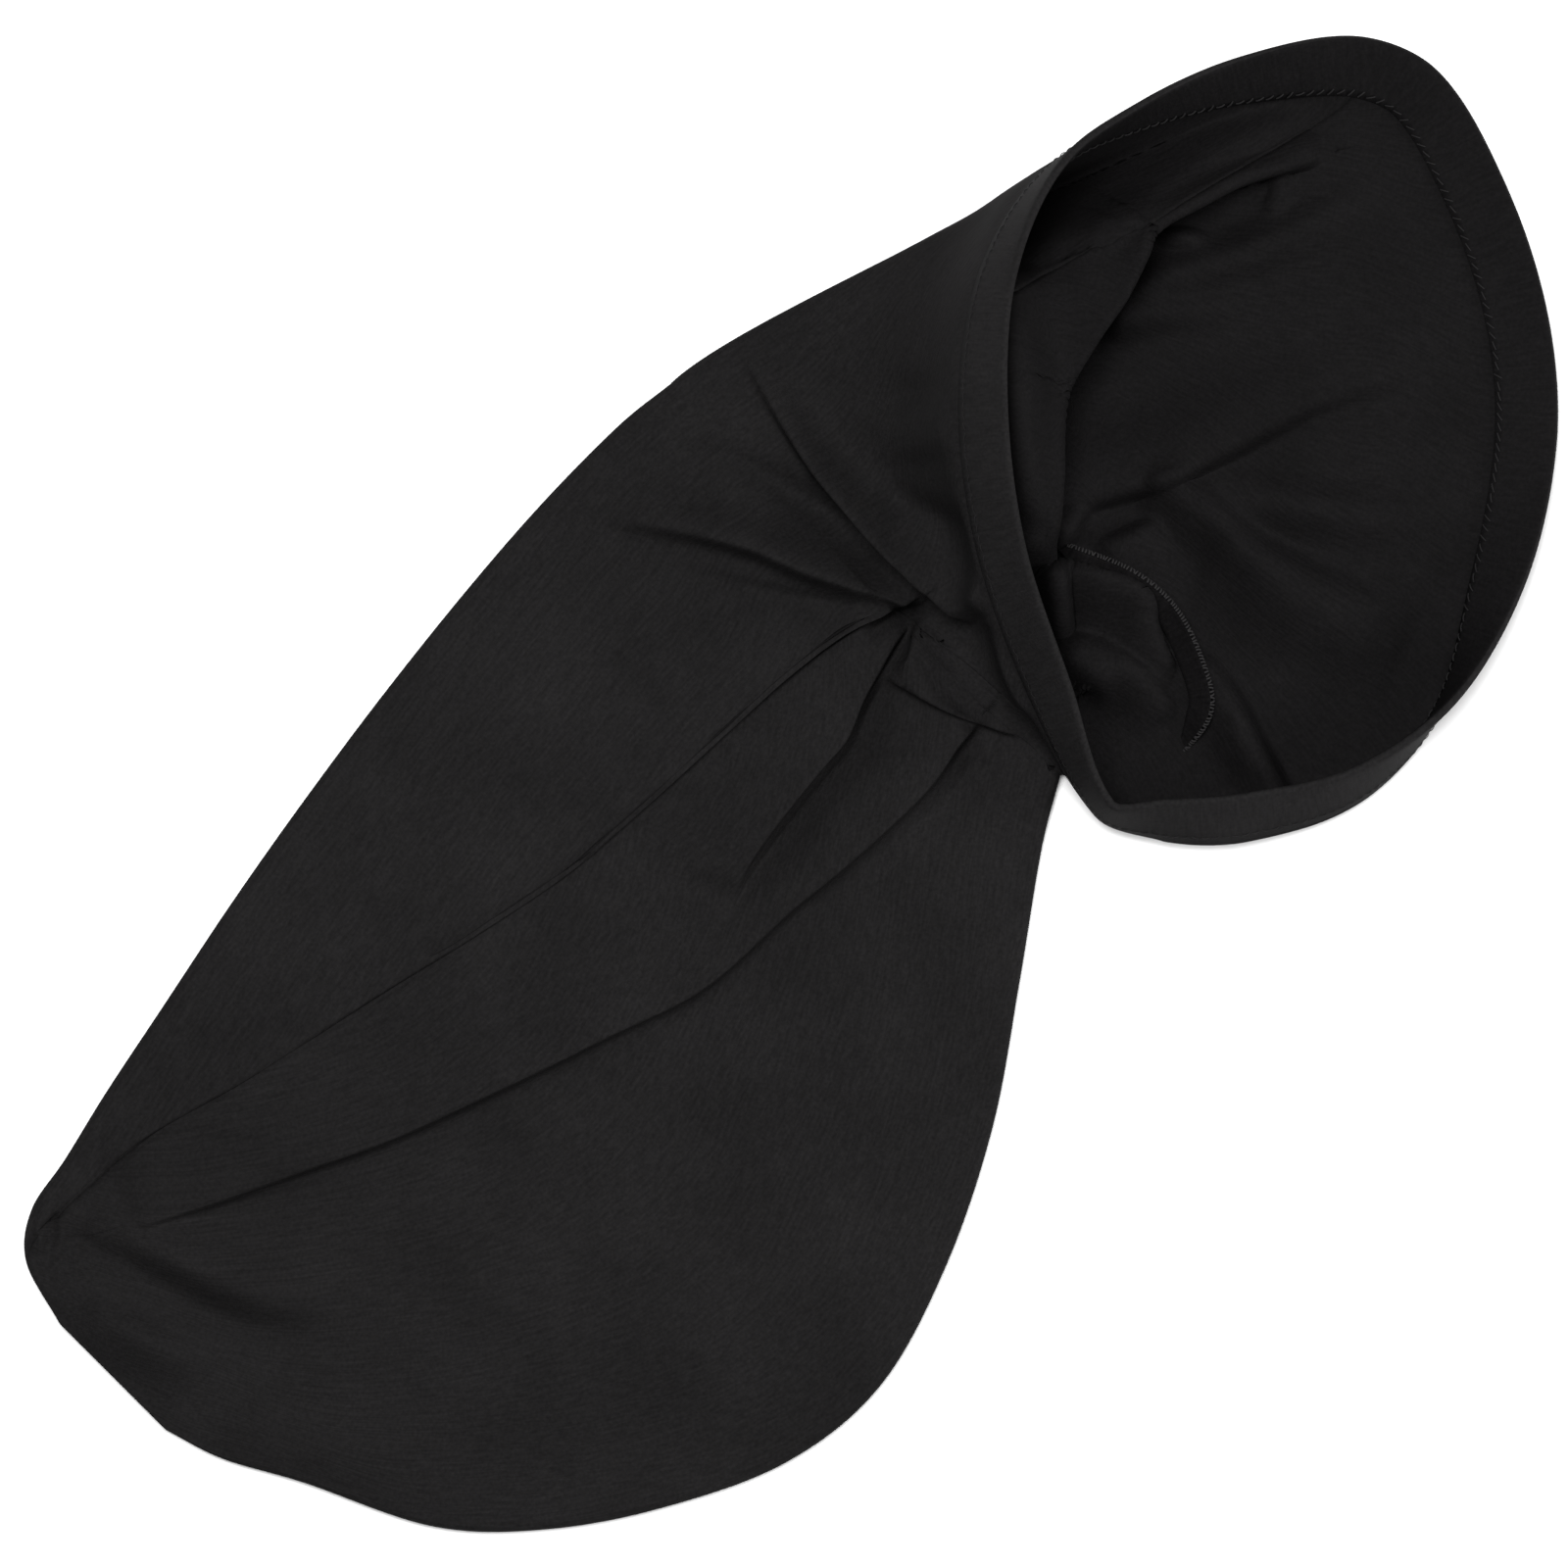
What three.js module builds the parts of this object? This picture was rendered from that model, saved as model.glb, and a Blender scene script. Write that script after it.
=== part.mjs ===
// Long sleep bonnet of black stretch knit, lying flat: a wide crown with a hemmed mouth that
// gapes upwards, a twisted neck, and a long flat hair pouch with a rounded end.
// Millimetres, +Z up. While it is worked out, X = 0 is the neck, +X runs to the mouth, -X to the
// pouch's closed end and +Y to the left; the group then centres the whole on its floor outline.
// Two equal knit panels are joined by two side seams, A and B. Places around the bonnet are turns
// in degrees: 0 right edge, 90 upper layer, 180 left edge, 270 lower layer.
import * as THREE from 'three';

// Driving sizes
const crownLength = 195; // neck to the far side of the mouth
const pouchLength = 279; // neck to the closed end
const bonnetWidth = 222; // share unit across, the widest part of the flat pouch
const mouthHeight = 62; // near side of the mouth above the floor
const wall = 1.5; // knit cloth
const seamGap = 0.6; // clearance between the two panels at their seams
const pieceGap = 0.4; // clearance between the cloth and the hem or the allowance
const foldRoom = 0.9; // half of the air inside a side fold
const pouchAir = 3.4; // air between the pouch's layers, where its loft is 1
const bandWidth = 16; // folded hem at the mouth
const bandExtra = 0.4; // how far the double hem stands proud of the cloth, each side
const allowanceWidth = 5.5; // overlocked seam allowance inside the crown
const allowanceThickness = 1.4;
const allowanceLift = 0.7; // clearance below it, over the folds' facets
const foldHeight = 9; // share unit for the heights of the folds
const foldWidth = 18; // share unit for the widths of the folds
const hemPull = 0.9; // how far the crown's wall keeps the hem's direction, share of its way
const hemReach = 50; // and at most
const neckPull = 0.6; // how far it keeps the pouch's direction
const landing = 2.5; // roundness of the cloth where it comes down on the floor

// Where the folds fade in and out: sine of the turn beside the folded edges, and ways down the cloth
const edgeFade = [0.1, 0.6];
const hemFade = [1.05, 1.4];
const neckFade = [1.8, 2];
const endFade = [2.85, 3];
const deepestValley = 0.25; // share of its height by which a fold may lower the upper layer
const steepLoss = 0.7; // share of its width that a fold's sharp side loses
const foldTaper = 0.02; // share of a fold's length at which its ends stop shrinking

// Mouth edge, a row for each place around it. turn: degrees; along: share of crownLength;
// across: share of bonnetWidth; height: share of mouthHeight; lean: degrees in which the hem runs
// away from the edge, 0 level outwards, 90 straight down, 180 level inwards.
const mouth = [
  { turn: 0, along: 0.016, across: -0.207, height: 0.42, lean: 75 },
  { turn: 24, along: 0.086, across: -0.074, height: 0.73, lean: 52 },
  { turn: 52, along: 0.17, across: 0.074, height: 0.94, lean: 46 },
  { turn: 80, along: 0.281, across: 0.2, height: 1.0, lean: 45 },
  { turn: 108, along: 0.406, across: 0.297, height: 0.9, lean: 60 },
  { turn: 140, along: 0.552, across: 0.35, height: 0.65, lean: 84 },
  { turn: 172, along: 0.691, across: 0.337, height: 0.42, lean: 108 },
  { turn: 192, along: 0.829, across: 0.293, height: 0.25, lean: 132 },
  { turn: 206, along: 0.955, across: 0.217, height: 0.15, lean: 157 },
  { turn: 216, along: 1.0, across: 0.124, height: 0.12, lean: 163 },
  { turn: 230, along: 0.963, across: -0.015, height: 0.1, lean: 168 },
  { turn: 247, along: 0.88, across: -0.162, height: 0.1, lean: 168 },
  { turn: 261, along: 0.77, across: -0.275, height: 0.11, lean: 167 },
  { turn: 277, along: 0.611, across: -0.365, height: 0.2, lean: 145 },
  { turn: 295, along: 0.439, across: -0.405, height: 0.31, lean: 100 },
  { turn: 315, along: 0.281, across: -0.382, height: 0.3, lean: 64 },
  { turn: 337, along: 0.149, across: -0.31, height: 0.34, lean: 48 },
  { turn: 351, along: 0.068, across: -0.25, height: 0.38, lean: 55 },
];

// Flat pouch, a row for each section from the neck to the closed end. along: share of
// pouchLength; left and right: edges, share of bonnetWidth; loft: share of the fold room and the
// pouch air; seam: turn of seam A, seam B lies half a turn further.
const pouch = [
  { along: 0.0, left: 0.49, right: -0.145, loft: 1.5, seam: 76 },
  { along: 0.06, left: 0.498, right: -0.19, loft: 1.35, seam: 84 },
  { along: 0.16, left: 0.497, right: -0.28, loft: 1.2, seam: 96 },
  { along: 0.27, left: 0.487, right: -0.375, loft: 1.1, seam: 103 },
  { along: 0.39, left: 0.47, right: -0.45, loft: 1.0, seam: 111 },
  { along: 0.51, left: 0.448, right: -0.494, loft: 1.0, seam: 120 },
  { along: 0.62, left: 0.424, right: -0.48, loft: 1.0, seam: 128 },
  { along: 0.73, left: 0.396, right: -0.416, loft: 0.95, seam: 136 },
  { along: 0.82, left: 0.373, right: -0.338, loft: 0.9, seam: 144 },
  { along: 0.89, left: 0.352, right: -0.245, loft: 0.8, seam: 151 },
  { along: 0.945, left: 0.338, right: -0.105, loft: 0.65, seam: 162 },
  { along: 0.982, left: 0.3, right: -0.02, loft: 0.4, seam: 174 },
  { along: 1.0, left: 0.225, right: 0.048, loft: 0.0, seam: 180 },
];

// Side seams through the crown. way: share of the way from the hem to the neck; a and b: degrees.
const crownSeams = [
  { way: 0.0, a: 0, b: 206 },
  { way: 0.25, a: 2, b: 206 },
  { way: 0.5, a: 12, b: 211 },
  { way: 0.75, a: 38, b: 228 },
  { way: 1.0, a: 76, b: 256 },
];

// Folds of the upper layer, each a bent line from start over middle to end. along: share of
// crownLength before the neck and of pouchLength behind it; across: share of bonnetWidth;
// height: share of foldHeight; width: share of foldWidth; steep: 0 even sides, 1 or -1 a sharp
// fall on its left or right.
const upperFolds = [
  {
    name: 'ridge to the pinch',
    line: [0.1, 0.43, 0.073, 0.287, 0.04, 0.12],
    height: 1.0, width: 0.6, steep: -0.6,
  },
  {
    name: 'valley below it',
    line: [0.03, 0.44, 0.02, 0.29, 0.02, 0.13],
    height: -0.4, width: 0.4, steep: 0,
  },
  {
    name: 'second ridge',
    line: [-0.1, 0.46, -0.041, 0.34, 0.02, 0.16],
    height: 0.7, width: 0.65, steep: -0.6,
  },
  {
    name: 'flap beside seam A',
    line: [0.0, 0.1, -0.117, 0.075, -0.29, 0.045],
    height: 0.6, width: 0.6, steep: 0.8,
  },
  {
    name: 'long pleat',
    line: [-0.02, 0.0, -0.34, 0.01, -0.87, 0.27],
    height: 0.7, width: 0.85, steep: 0.7,
  },
  {
    name: 'crown edge at the notch',
    line: [0.03, 0.06, 0.02, -0.03, 0.0, -0.12],
    height: 0.7, width: 0.5, steep: -0.7,
  },
  {
    name: 'valley at the corner',
    line: [-0.62, 0.08, -0.76, 0.19, -0.9, 0.28],
    height: -0.25, width: 0.5, steep: 0,
  },
];

// Gathers of the lower layer, seen through the mouth, with the same columns
const lowerFolds = [
  {
    name: 'tall pleat',
    line: [0.22, 0.1, 0.47, 0.215, 0.82, 0.2],
    height: 1.3, width: 0.6, steep: -0.6,
  },
  {
    name: 'upper gather',
    line: [0.5, 0.185, 0.63, 0.14, 0.84, 0.09],
    height: 0.45, width: 0.5, steep: 0,
  },
  {
    name: 'main gather',
    line: [0.25, 0.057, 0.444, -0.022, 0.66, -0.086],
    height: 0.85, width: 0.7, steep: -0.5,
  },
  {
    name: 'branch of it',
    line: [0.34, 0.02, 0.37, -0.055, 0.4, -0.22],
    height: 0.5, width: 0.55, steep: 0,
  },
  {
    name: 'curled gather',
    line: [0.195, 0.037, 0.235, -0.066, 0.19, -0.157],
    height: 0.8, width: 0.5, steep: 0,
  },
  {
    name: 'low gather',
    line: [0.235, -0.18, 0.235, -0.25, 0.21, -0.32],
    height: 0.5, width: 0.5, steep: 0,
  },
];

// Overlocked seam allowance on the crown's floor: its middle, with the folds' shares
const allowance = [
  { along: 0.127, across: -0.213 },
  { along: 0.19, across: -0.203 },
  { along: 0.222, across: -0.162 },
  { along: 0.246, across: -0.1 },
  { along: 0.24, across: -0.04 },
  { along: 0.2, across: 0.04 },
];

// Mesh steps
const frontColumns = 22;
const backColumns = 34;
const crownRows = 16;
const pouchRows = 27;
const bandRows = 2;
const allowanceSteps = 24;
const crownPacking = 1.35; // above 1, the crown's rows lie closer together near the hem
const normalTurn = 0.4; // steps in turn and way over which the cloth's normal is taken
const normalWay = 0.004;
const searchStart = { turn: 290, way: 1.5 }; // where the search for the crown's floor begins
const searchStep = { turn: 40, way: 0.3 };
const searchEnd = 0.05; // turn step at which it has found its place

const degree = Math.PI / 180;
const clamp = (x, low, high) => Math.min(high, Math.max(low, x));
const mix = (a, b, t) => a + (b - a) * t;
const ease = (low, high, x) => {
  const t = clamp((x - low) / (high - low), 0, 1);
  return t * t * (3 - 2 * t);
};

// Smooth curve through one column of a table, whose knots rise and may repeat after a period
function columnCurve(knots, values, period = 0) {
  const count = knots.length;
  const at = (i) => {
    if (!period) return [knots[clamp(i, 0, count - 1)], values[clamp(i, 0, count - 1)]];
    const lap = Math.floor(i / count);
    return [knots[i - lap * count] + lap * period, values[i - lap * count]];
  };
  return (x) => {
    const place = period ? x - Math.floor((x - knots[0]) / period) * period : x;
    let i = 0;
    const last = period ? count - 1 : count - 2;
    while (i < last && at(i + 1)[0] < place) i += 1;
    const [x0, y0] = at(i - 1);
    const [x1, y1] = at(i);
    const [x2, y2] = at(i + 1);
    const [x3, y3] = at(i + 2);
    const t = clamp((place - x1) / (x2 - x1), 0, 1);
    const slope1 = ((y2 - y0) / (x2 - x0)) * (x2 - x1);
    const slope2 = ((y3 - y1) / (x3 - x1)) * (x2 - x1);
    const t2 = t * t;
    const t3 = t2 * t;
    return (2 * t3 - 3 * t2 + 1) * y1 + (t3 - 2 * t2 + t) * slope1
      + (3 * t2 - 2 * t3) * y2 + (t3 - t2) * slope2;
  };
}

const tableCurves = (rows, knots, period) => {
  const curves = {};
  for (const column of Object.keys(rows[0])) {
    curves[column] = columnCurve(knots, rows.map((row) => row[column]), period);
  }
  return curves;
};

const mouthAt = tableCurves(mouth, mouth.map((row) => row.turn), 360);
const pouchAt = tableCurves(pouch, pouch.map((row, i) => i / (pouch.length - 1)));
const crownSeamsAt = tableCurves(crownSeams, crownSeams.map((row) => row.way));

const alongToX = (along) => along * (along > 0 ? crownLength : pouchLength);

// Height that one fold adds at a place
function foldRise(fold, x, y) {
  const toMillimetres = (share, i) => (i % 2 ? share * bonnetWidth : alongToX(share));
  const [startX, startY, middleX, middleY, endX, endY] = fold.line.map(toMillimetres);
  const spans = [[startX, startY, middleX, middleY], [middleX, middleY, endX, endY]];
  let best = { away: Infinity, side: 1, way: 0 };
  spans.forEach(([ax, ay, bx, by], half) => {
    const dx = bx - ax;
    const dy = by - ay;
    const t = clamp(((x - ax) * dx + (y - ay) * dy) / (dx * dx + dy * dy), 0, 1);
    const away = Math.hypot(x - ax - dx * t, y - ay - dy * t);
    const side = Math.sign(dx * (y - ay) - dy * (x - ax));
    if (away < best.away) best = { away, side, way: (half + t) / 2 };
  });
  const sharp = Math.max(0, best.side * fold.steep);
  const reach = fold.width * foldWidth * (1 - steepLoss * sharp);
  const taper = Math.sqrt(Math.sin(Math.PI * clamp(best.way, foldTaper, 1 - foldTaper)));
  return fold.height * foldHeight * taper * Math.exp(-((best.away / reach) ** 2));
}

const foldSum = (folds, x, y) => folds.reduce((sum, fold) => sum + foldRise(fold, x, y), 0);

// Rises with slope 1 and levels out at exactly 1, where q is 1.5, so that folded edges are round and
// floors flat
const roundOff = (q) => (q < 1.5 ? q - (4 / 27) * q ** 3 : 1);

// Outer face of a flat section of the pouch, way 0 at the neck and 1 at the closed end
function pouchPoint(turn, way) {
  const left = pouchAt.left(way) * bonnetWidth;
  const right = pouchAt.right(way) * bonnetWidth;
  const loft = Math.max(0, pouchAt.loft(way));
  const half = (left - right) / 2;
  const radius = wall + seamGap / 2 + foldRoom * loft;
  const angle = turn * degree;
  const rise = Math.sin(angle);
  const round = radius * roundOff(Math.sqrt(half / radius) * Math.abs(rise));
  const air = Math.max(0, pouchAir - 2 * foldRoom) * loft;
  const z = rise > 0 ? radius + round + air * rise * rise : radius - round;
  return new THREE.Vector3(-pouchAt.along(way) * pouchLength, (left + right) / 2 - half * Math.cos(angle), z);
}

const mouthPoint = (turn) => new THREE.Vector3(
  mouthAt.along(turn) * crownLength,
  mouthAt.across(turn) * bonnetWidth,
  mouthAt.height(turn) * mouthHeight,
);

// Direction in which the hem runs away from the mouth's edge
function hemDirection(turn) {
  const ahead = mouthPoint(turn + 1).sub(mouthPoint(turn - 1));
  const level = Math.hypot(ahead.x, ahead.y);
  const lean = mouthAt.lean(turn) * degree;
  return new THREE.Vector3(
    (-ahead.y / level) * Math.cos(lean),
    (ahead.x / level) * Math.cos(lean),
    -Math.sin(lean),
  );
}

// Length over which the wall keeps the hem's direction
const hemHold = (span) => hemReach * (1 - Math.exp((-hemPull * span) / hemReach));

// Outer face of the crown below the hem, way 0 at the hem and 1 at the neck: a cubic that leaves in
// the hem's direction, arrives in the pouch's and lies flat where it meets the floor
function crownPoint(turn, way) {
  const start = hemEdge(turn);
  const end = pouchPoint(turn, 0);
  const span = start.distanceTo(end);
  const leave = hemDirection(turn).multiplyScalar(hemHold(span));
  const t2 = way * way;
  const t3 = t2 * way;
  const point = start.multiplyScalar(2 * t3 - 3 * t2 + 1);
  point.addScaledVector(leave, t3 - 2 * t2 + way);
  point.addScaledVector(end, 3 * t2 - 2 * t3);
  point.x -= (t3 - t2) * neckPull * span;
  return point;
}

const hemPoint = (turn, way) => mouthPoint(turn).addScaledVector(hemDirection(turn), bandWidth * way);
const hemEdge = (turn) => hemPoint(turn, 1);

// Heights below the floor are brought up to it with a short round transition
const settle = (z) => (z < landing ? Math.max(0, z + landing) ** 2 / (4 * landing) : z);

// Outer face of the cloth. way: 0 mouth's edge, 1 hem's lower edge, 2 neck, 3 closed end
function clothPoint(turn, way) {
  let point;
  if (way < 1) point = hemPoint(turn, way);
  else if (way < 2) point = crownPoint(turn, way - 1);
  else point = pouchPoint(turn, way - 2);
  if (way < 2) point.z = settle(point.z);
  const rise = Math.sin(turn * degree);
  const share = ease(...edgeFade, Math.abs(rise)) * ease(...hemFade, way) * (1 - ease(...endFade, way));
  if (rise > 0) {
    const fold = foldSum(upperFolds, point.x, point.y);
    point.z += share * Math.max(-point.z * deepestValley, fold);
  }
  if (rise < 0) {
    const fold = foldSum(lowerFolds, point.x, point.y);
    point.z += share * (1 - ease(...neckFade, way)) * Math.max(0, fold);
  }
  return point;
}

// Point at a depth below the outer face, along the inward normal
function clothDepth(turn, way, depth) {
  const around = clothPoint(turn + normalTurn, way).sub(clothPoint(turn - normalTurn, way));
  const low = clamp(way - normalWay, 0, 3 - normalWay);
  const down = clothPoint(turn, clamp(way + normalWay, normalWay, 3)).sub(clothPoint(turn, low));
  const outward = new THREE.Vector3().crossVectors(around, down).normalize();
  return clothPoint(turn, way).addScaledVector(outward, -depth);
}

const seamA = (way) => (way < 2 ? crownSeamsAt.a(way - 1) : pouchAt.seam(way - 2));
const seamB = (way) => (way < 2 ? crownSeamsAt.b(way - 1) : pouchAt.seam(way - 2) + 180);

// Closed body from a grid of outer points and the matching inner points. A grid that closes
// around has no side strips.
function shellGeometry(outer, inner, closesAround) {
  const rows = outer.length;
  const columns = outer[0].length;
  const position = [];
  for (const grid of [outer, inner]) {
    for (const row of grid) for (const p of row) position.push(p.x, p.y, p.z);
  }
  const out = (i, j) => i * columns + (j % columns);
  const inn = (i, j) => rows * columns + out(i, j);
  const index = [];
  const quad = (a, b, c, d) => index.push(a, b, c, a, c, d);
  const across = closesAround ? columns : columns - 1;
  for (let i = 0; i + 1 < rows; i += 1) {
    for (let j = 0; j < across; j += 1) {
      quad(out(i, j), out(i, j + 1), out(i + 1, j + 1), out(i + 1, j));
      quad(inn(i, j), inn(i + 1, j), inn(i + 1, j + 1), inn(i, j + 1));
    }
    if (!closesAround) {
      quad(out(i, 0), out(i + 1, 0), inn(i + 1, 0), inn(i, 0));
      quad(out(i + 1, across), out(i, across), inn(i, across), inn(i + 1, across));
    }
  }
  for (let j = 0; j < across; j += 1) {
    quad(out(0, j + 1), out(0, j), inn(0, j), inn(0, j + 1));
    quad(out(rows - 1, j), out(rows - 1, j + 1), inn(rows - 1, j + 1), inn(rows - 1, j));
  }
  const geometry = new THREE.BufferGeometry();
  geometry.setAttribute('position', new THREE.Float32BufferAttribute(position, 3));
  geometry.setIndex(index);
  geometry.computeVertexNormals();
  return geometry;
}

// Moves one side of a panel away from the seam line, square to it and along the cloth
function openSeam(outer, inner, column, towards) {
  const line = outer.map((row) => row[column].clone());
  line.forEach((point, i) => {
    const ahead = line[Math.min(i + 1, line.length - 1)].clone().sub(line[Math.max(i - 1, 0)]);
    const outward = point.clone().sub(inner[i][column]);
    const aside = outward.cross(ahead).normalize().multiplyScalar((towards * seamGap) / 2);
    for (const row of [outer[i], inner[i]]) {
      row[column].add(aside);
      row[column].z = Math.max(row[column].z, 0);
    }
  });
}

// One knit panel, about half a turn wide, from the hem to the closed end between the two side seams
function panelGeometry(firstSeam, nextSeam, columns) {
  const outer = [];
  const inner = [];
  for (let i = 0; i <= crownRows + pouchRows; i += 1) {
    const crownShare = Math.min(1, i / crownRows);
    const pouchShare = Math.max(0, (i - crownRows) / pouchRows);
    const first = firstSeam(1 + crownShare + pouchShare);
    const next = nextSeam(1 + crownShare + pouchShare);
    const outerRow = [];
    const innerRow = [];
    for (let j = 0; j <= columns; j += 1) {
      const turn = mix(first, next, j / columns);
      const span = hemEdge(turn).distanceTo(pouchPoint(turn, 0));
      const gap = pieceGap / hemHold(span);
      const way = 1 + mix(gap, 1, crownShare ** crownPacking) + pouchShare;
      outerRow.push(clothDepth(turn, way, 0));
      innerRow.push(clothDepth(turn, way, wall));
    }
    outer.push(outerRow);
    inner.push(innerRow);
  }
  openSeam(outer, inner, 0, -1);
  openSeam(outer, inner, columns, 1);
  return shellGeometry(outer, inner, false);
}

// Folded hem around the mouth, a little proud of the cloth on both sides
function bandGeometry() {
  const outer = [];
  const inner = [];
  for (let i = 0; i <= bandRows; i += 1) {
    const outerRow = [];
    const innerRow = [];
    for (let j = 0; j < frontColumns + backColumns; j += 1) {
      const turn = j < frontColumns
        ? mix(seamA(1), seamB(1), j / frontColumns)
        : mix(seamB(1), seamA(1) + 360, (j - frontColumns) / backColumns);
      const way = i / bandRows;
      outerRow.push(clothDepth(turn, way, -bandExtra));
      innerRow.push(clothDepth(turn, way, wall + bandExtra));
    }
    outer.push(outerRow);
    inner.push(innerRow);
  }
  return shellGeometry(outer, inner, true);
}

// Point of the lower layer's inner face straight under or over a place, found by halving steps
function floorUnder(x, y) {
  let { turn, way } = searchStart;
  let turnStep = searchStep.turn;
  let wayStep = searchStep.way;
  const away = (t, w) => {
    const point = clothDepth(t, w, wall);
    return Math.hypot(point.x - x, point.y - y);
  };
  let best = away(turn, way);
  while (turnStep > searchEnd) {
    const tries = [[turnStep, 0], [-turnStep, 0], [0, wayStep], [0, -wayStep]];
    const found = tries.map(([dt, dw]) => {
      const nextTurn = turn + dt;
      const nextWay = clamp(way + dw, 1, 2);
      return [away(nextTurn, nextWay), nextTurn, nextWay];
    }).sort((p, q) => p[0] - q[0])[0];
    if (found[0] < best) [best, turn, way] = found;
    else {
      turnStep /= 2;
      wayStep /= 2;
    }
  }
  return clothDepth(turn, way, wall);
}

// Overlocked allowance as a flat strip that follows the floor under each of its edges
function allowanceGeometry() {
  const path = new THREE.CatmullRomCurve3(
    allowance.map((row) => new THREE.Vector3(alongToX(row.along), row.across * bonnetWidth, 0)),
  );
  const outer = [];
  const inner = [];
  for (let i = 0; i <= allowanceSteps; i += 1) {
    const middle = path.getPoint(i / allowanceSteps);
    const ahead = path.getTangent(i / allowanceSteps);
    const topRow = [];
    const lowRow = [];
    for (const side of [0.5, 0, -0.5]) {
      const x = middle.x - ahead.y * side * allowanceWidth;
      const y = middle.y + ahead.x * side * allowanceWidth;
      const low = new THREE.Vector3(x, y, floorUnder(x, y).z + allowanceLift);
      lowRow.push(low);
      topRow.push(low.clone().setZ(low.z + allowanceThickness));
    }
    outer.push(topRow);
    inner.push(lowRow);
  }
  return shellGeometry(outer, inner, false);
}

const cloth = new THREE.MeshStandardMaterial({ color: 0x131213, roughness: 0.62, metalness: 0 });
const band = new THREE.MeshStandardMaterial({ color: 0x161516, roughness: 0.6, metalness: 0 });

const bonnet = new THREE.Group();
function addPiece(name, geometry, material) {
  const mesh = new THREE.Mesh(geometry, material);
  mesh.name = name;
  bonnet.add(mesh);
}

addPiece('front_panel', panelGeometry(seamA, seamB, frontColumns), cloth);
addPiece('back_panel', panelGeometry(seamB, (way) => seamA(way) + 360, backColumns), cloth);
addPiece('hem_band', bandGeometry(), band);
addPiece('seam_allowance', allowanceGeometry(), band);

const whole = new THREE.Box3().setFromObject(bonnet);
const centre = whole.getCenter(new THREE.Vector3());
bonnet.position.set(-centre.x, -centre.y, -whole.min.z);

export default bonnet;
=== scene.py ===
"""Long sleep bonnet of black stretch knit, lying flat on a pale floor.

The cloth is worked out as one tube of points: turns in degrees go round it (0 right edge, 90 upper
layer, 180 left edge, 270 lower layer) and ways go down it (0 mouth edge, 1 hem's lower edge, 2 neck,
3 closed end). Folds are raised on it, the wall gets its thickness, and the two panels are cut from
it. Sizes in the tables are in millimetres, meshes in metres.
"""
import math

import bpy
import numpy as np
from bpy.props import FloatProperty, FloatVectorProperty, PointerProperty
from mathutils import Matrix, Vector


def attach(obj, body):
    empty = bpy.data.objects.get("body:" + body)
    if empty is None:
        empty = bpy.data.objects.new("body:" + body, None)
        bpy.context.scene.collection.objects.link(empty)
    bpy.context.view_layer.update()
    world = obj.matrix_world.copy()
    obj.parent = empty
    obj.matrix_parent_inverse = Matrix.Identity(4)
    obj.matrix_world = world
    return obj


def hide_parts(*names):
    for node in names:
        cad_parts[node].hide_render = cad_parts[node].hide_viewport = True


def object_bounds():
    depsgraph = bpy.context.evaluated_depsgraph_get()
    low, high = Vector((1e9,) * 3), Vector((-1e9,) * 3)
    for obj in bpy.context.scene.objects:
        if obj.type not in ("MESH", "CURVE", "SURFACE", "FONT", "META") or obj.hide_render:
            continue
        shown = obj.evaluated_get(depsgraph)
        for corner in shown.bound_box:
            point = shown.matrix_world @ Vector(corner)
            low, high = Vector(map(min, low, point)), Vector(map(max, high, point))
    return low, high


bl_info = {
    "name": "Sleep bonnet",
    "version": (1, 0, 0),
    "blender": (4, 5, 0),
    "location": "3D View > Sidebar > Bonnet",
    "description": "Builds a long sleep bonnet of black stretch knit, lying flat",
    "category": "Object",
}

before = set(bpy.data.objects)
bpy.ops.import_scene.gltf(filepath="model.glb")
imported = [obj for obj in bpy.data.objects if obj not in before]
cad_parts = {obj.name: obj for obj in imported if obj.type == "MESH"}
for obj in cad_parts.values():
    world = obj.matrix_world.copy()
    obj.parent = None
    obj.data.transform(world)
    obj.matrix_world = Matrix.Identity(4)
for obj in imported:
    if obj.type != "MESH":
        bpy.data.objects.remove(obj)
cad_low, cad_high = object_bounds()

MM = 0.001
CROWN_LENGTH = 195.0
POUCH_LENGTH = 279.0
BONNET_WIDTH = 222.0
MOUTH_HEIGHT = 62.0
SEAM_GAP = 0.6
FOLD_ROOM = 0.9
POUCH_AIR = 3.4
HEM_PULL = 0.9
HEM_REACH = 50.0
NECK_PULL = 0.6
LANDING = 2.5

# Lowest place of the cloth over the floor, and of the upper layer over its own fold's valleys
FLOOR_GAP = 0.02
UPPER_LEAST = 3.6
VALLEY_SHARE = 0.8

# How far a fold is felt, in shares of its spread, and how soon its ends shrink
FOLD_REACH = 2.8
FOLD_TAPER = 8.0

# Grid of the cloth: columns of each panel, rows, and how closely both follow the bends
FRONT_COLUMNS = 140
BACK_COLUMNS = 164
CROWN_ROWS = 150
POUCH_ROWS = 150
CROWN_PACKING = 1.25
POUCH_PACKING = 1.25
TURN_TRIES = 420
BEND_SHARE = 4.0
CLOTH_GAP = 0.12

# Dip of the cloth beside a seam: its depth on the crown and on the pouch, and its width
CROWN_DIP = 0.12
POUCH_DIP = 0.72
DIP_WIDTH = 1.1
DIP_COLUMNS = 9

# Hem: points round it and across its section, and how far it stands out from the cloth
BAND_COLUMNS = 560
BAND_SIDE_ROWS = 8
BAND_RIM_STEPS = 8
BAND_OUT = 0.1
BAND_BULGE = 0.15

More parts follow.
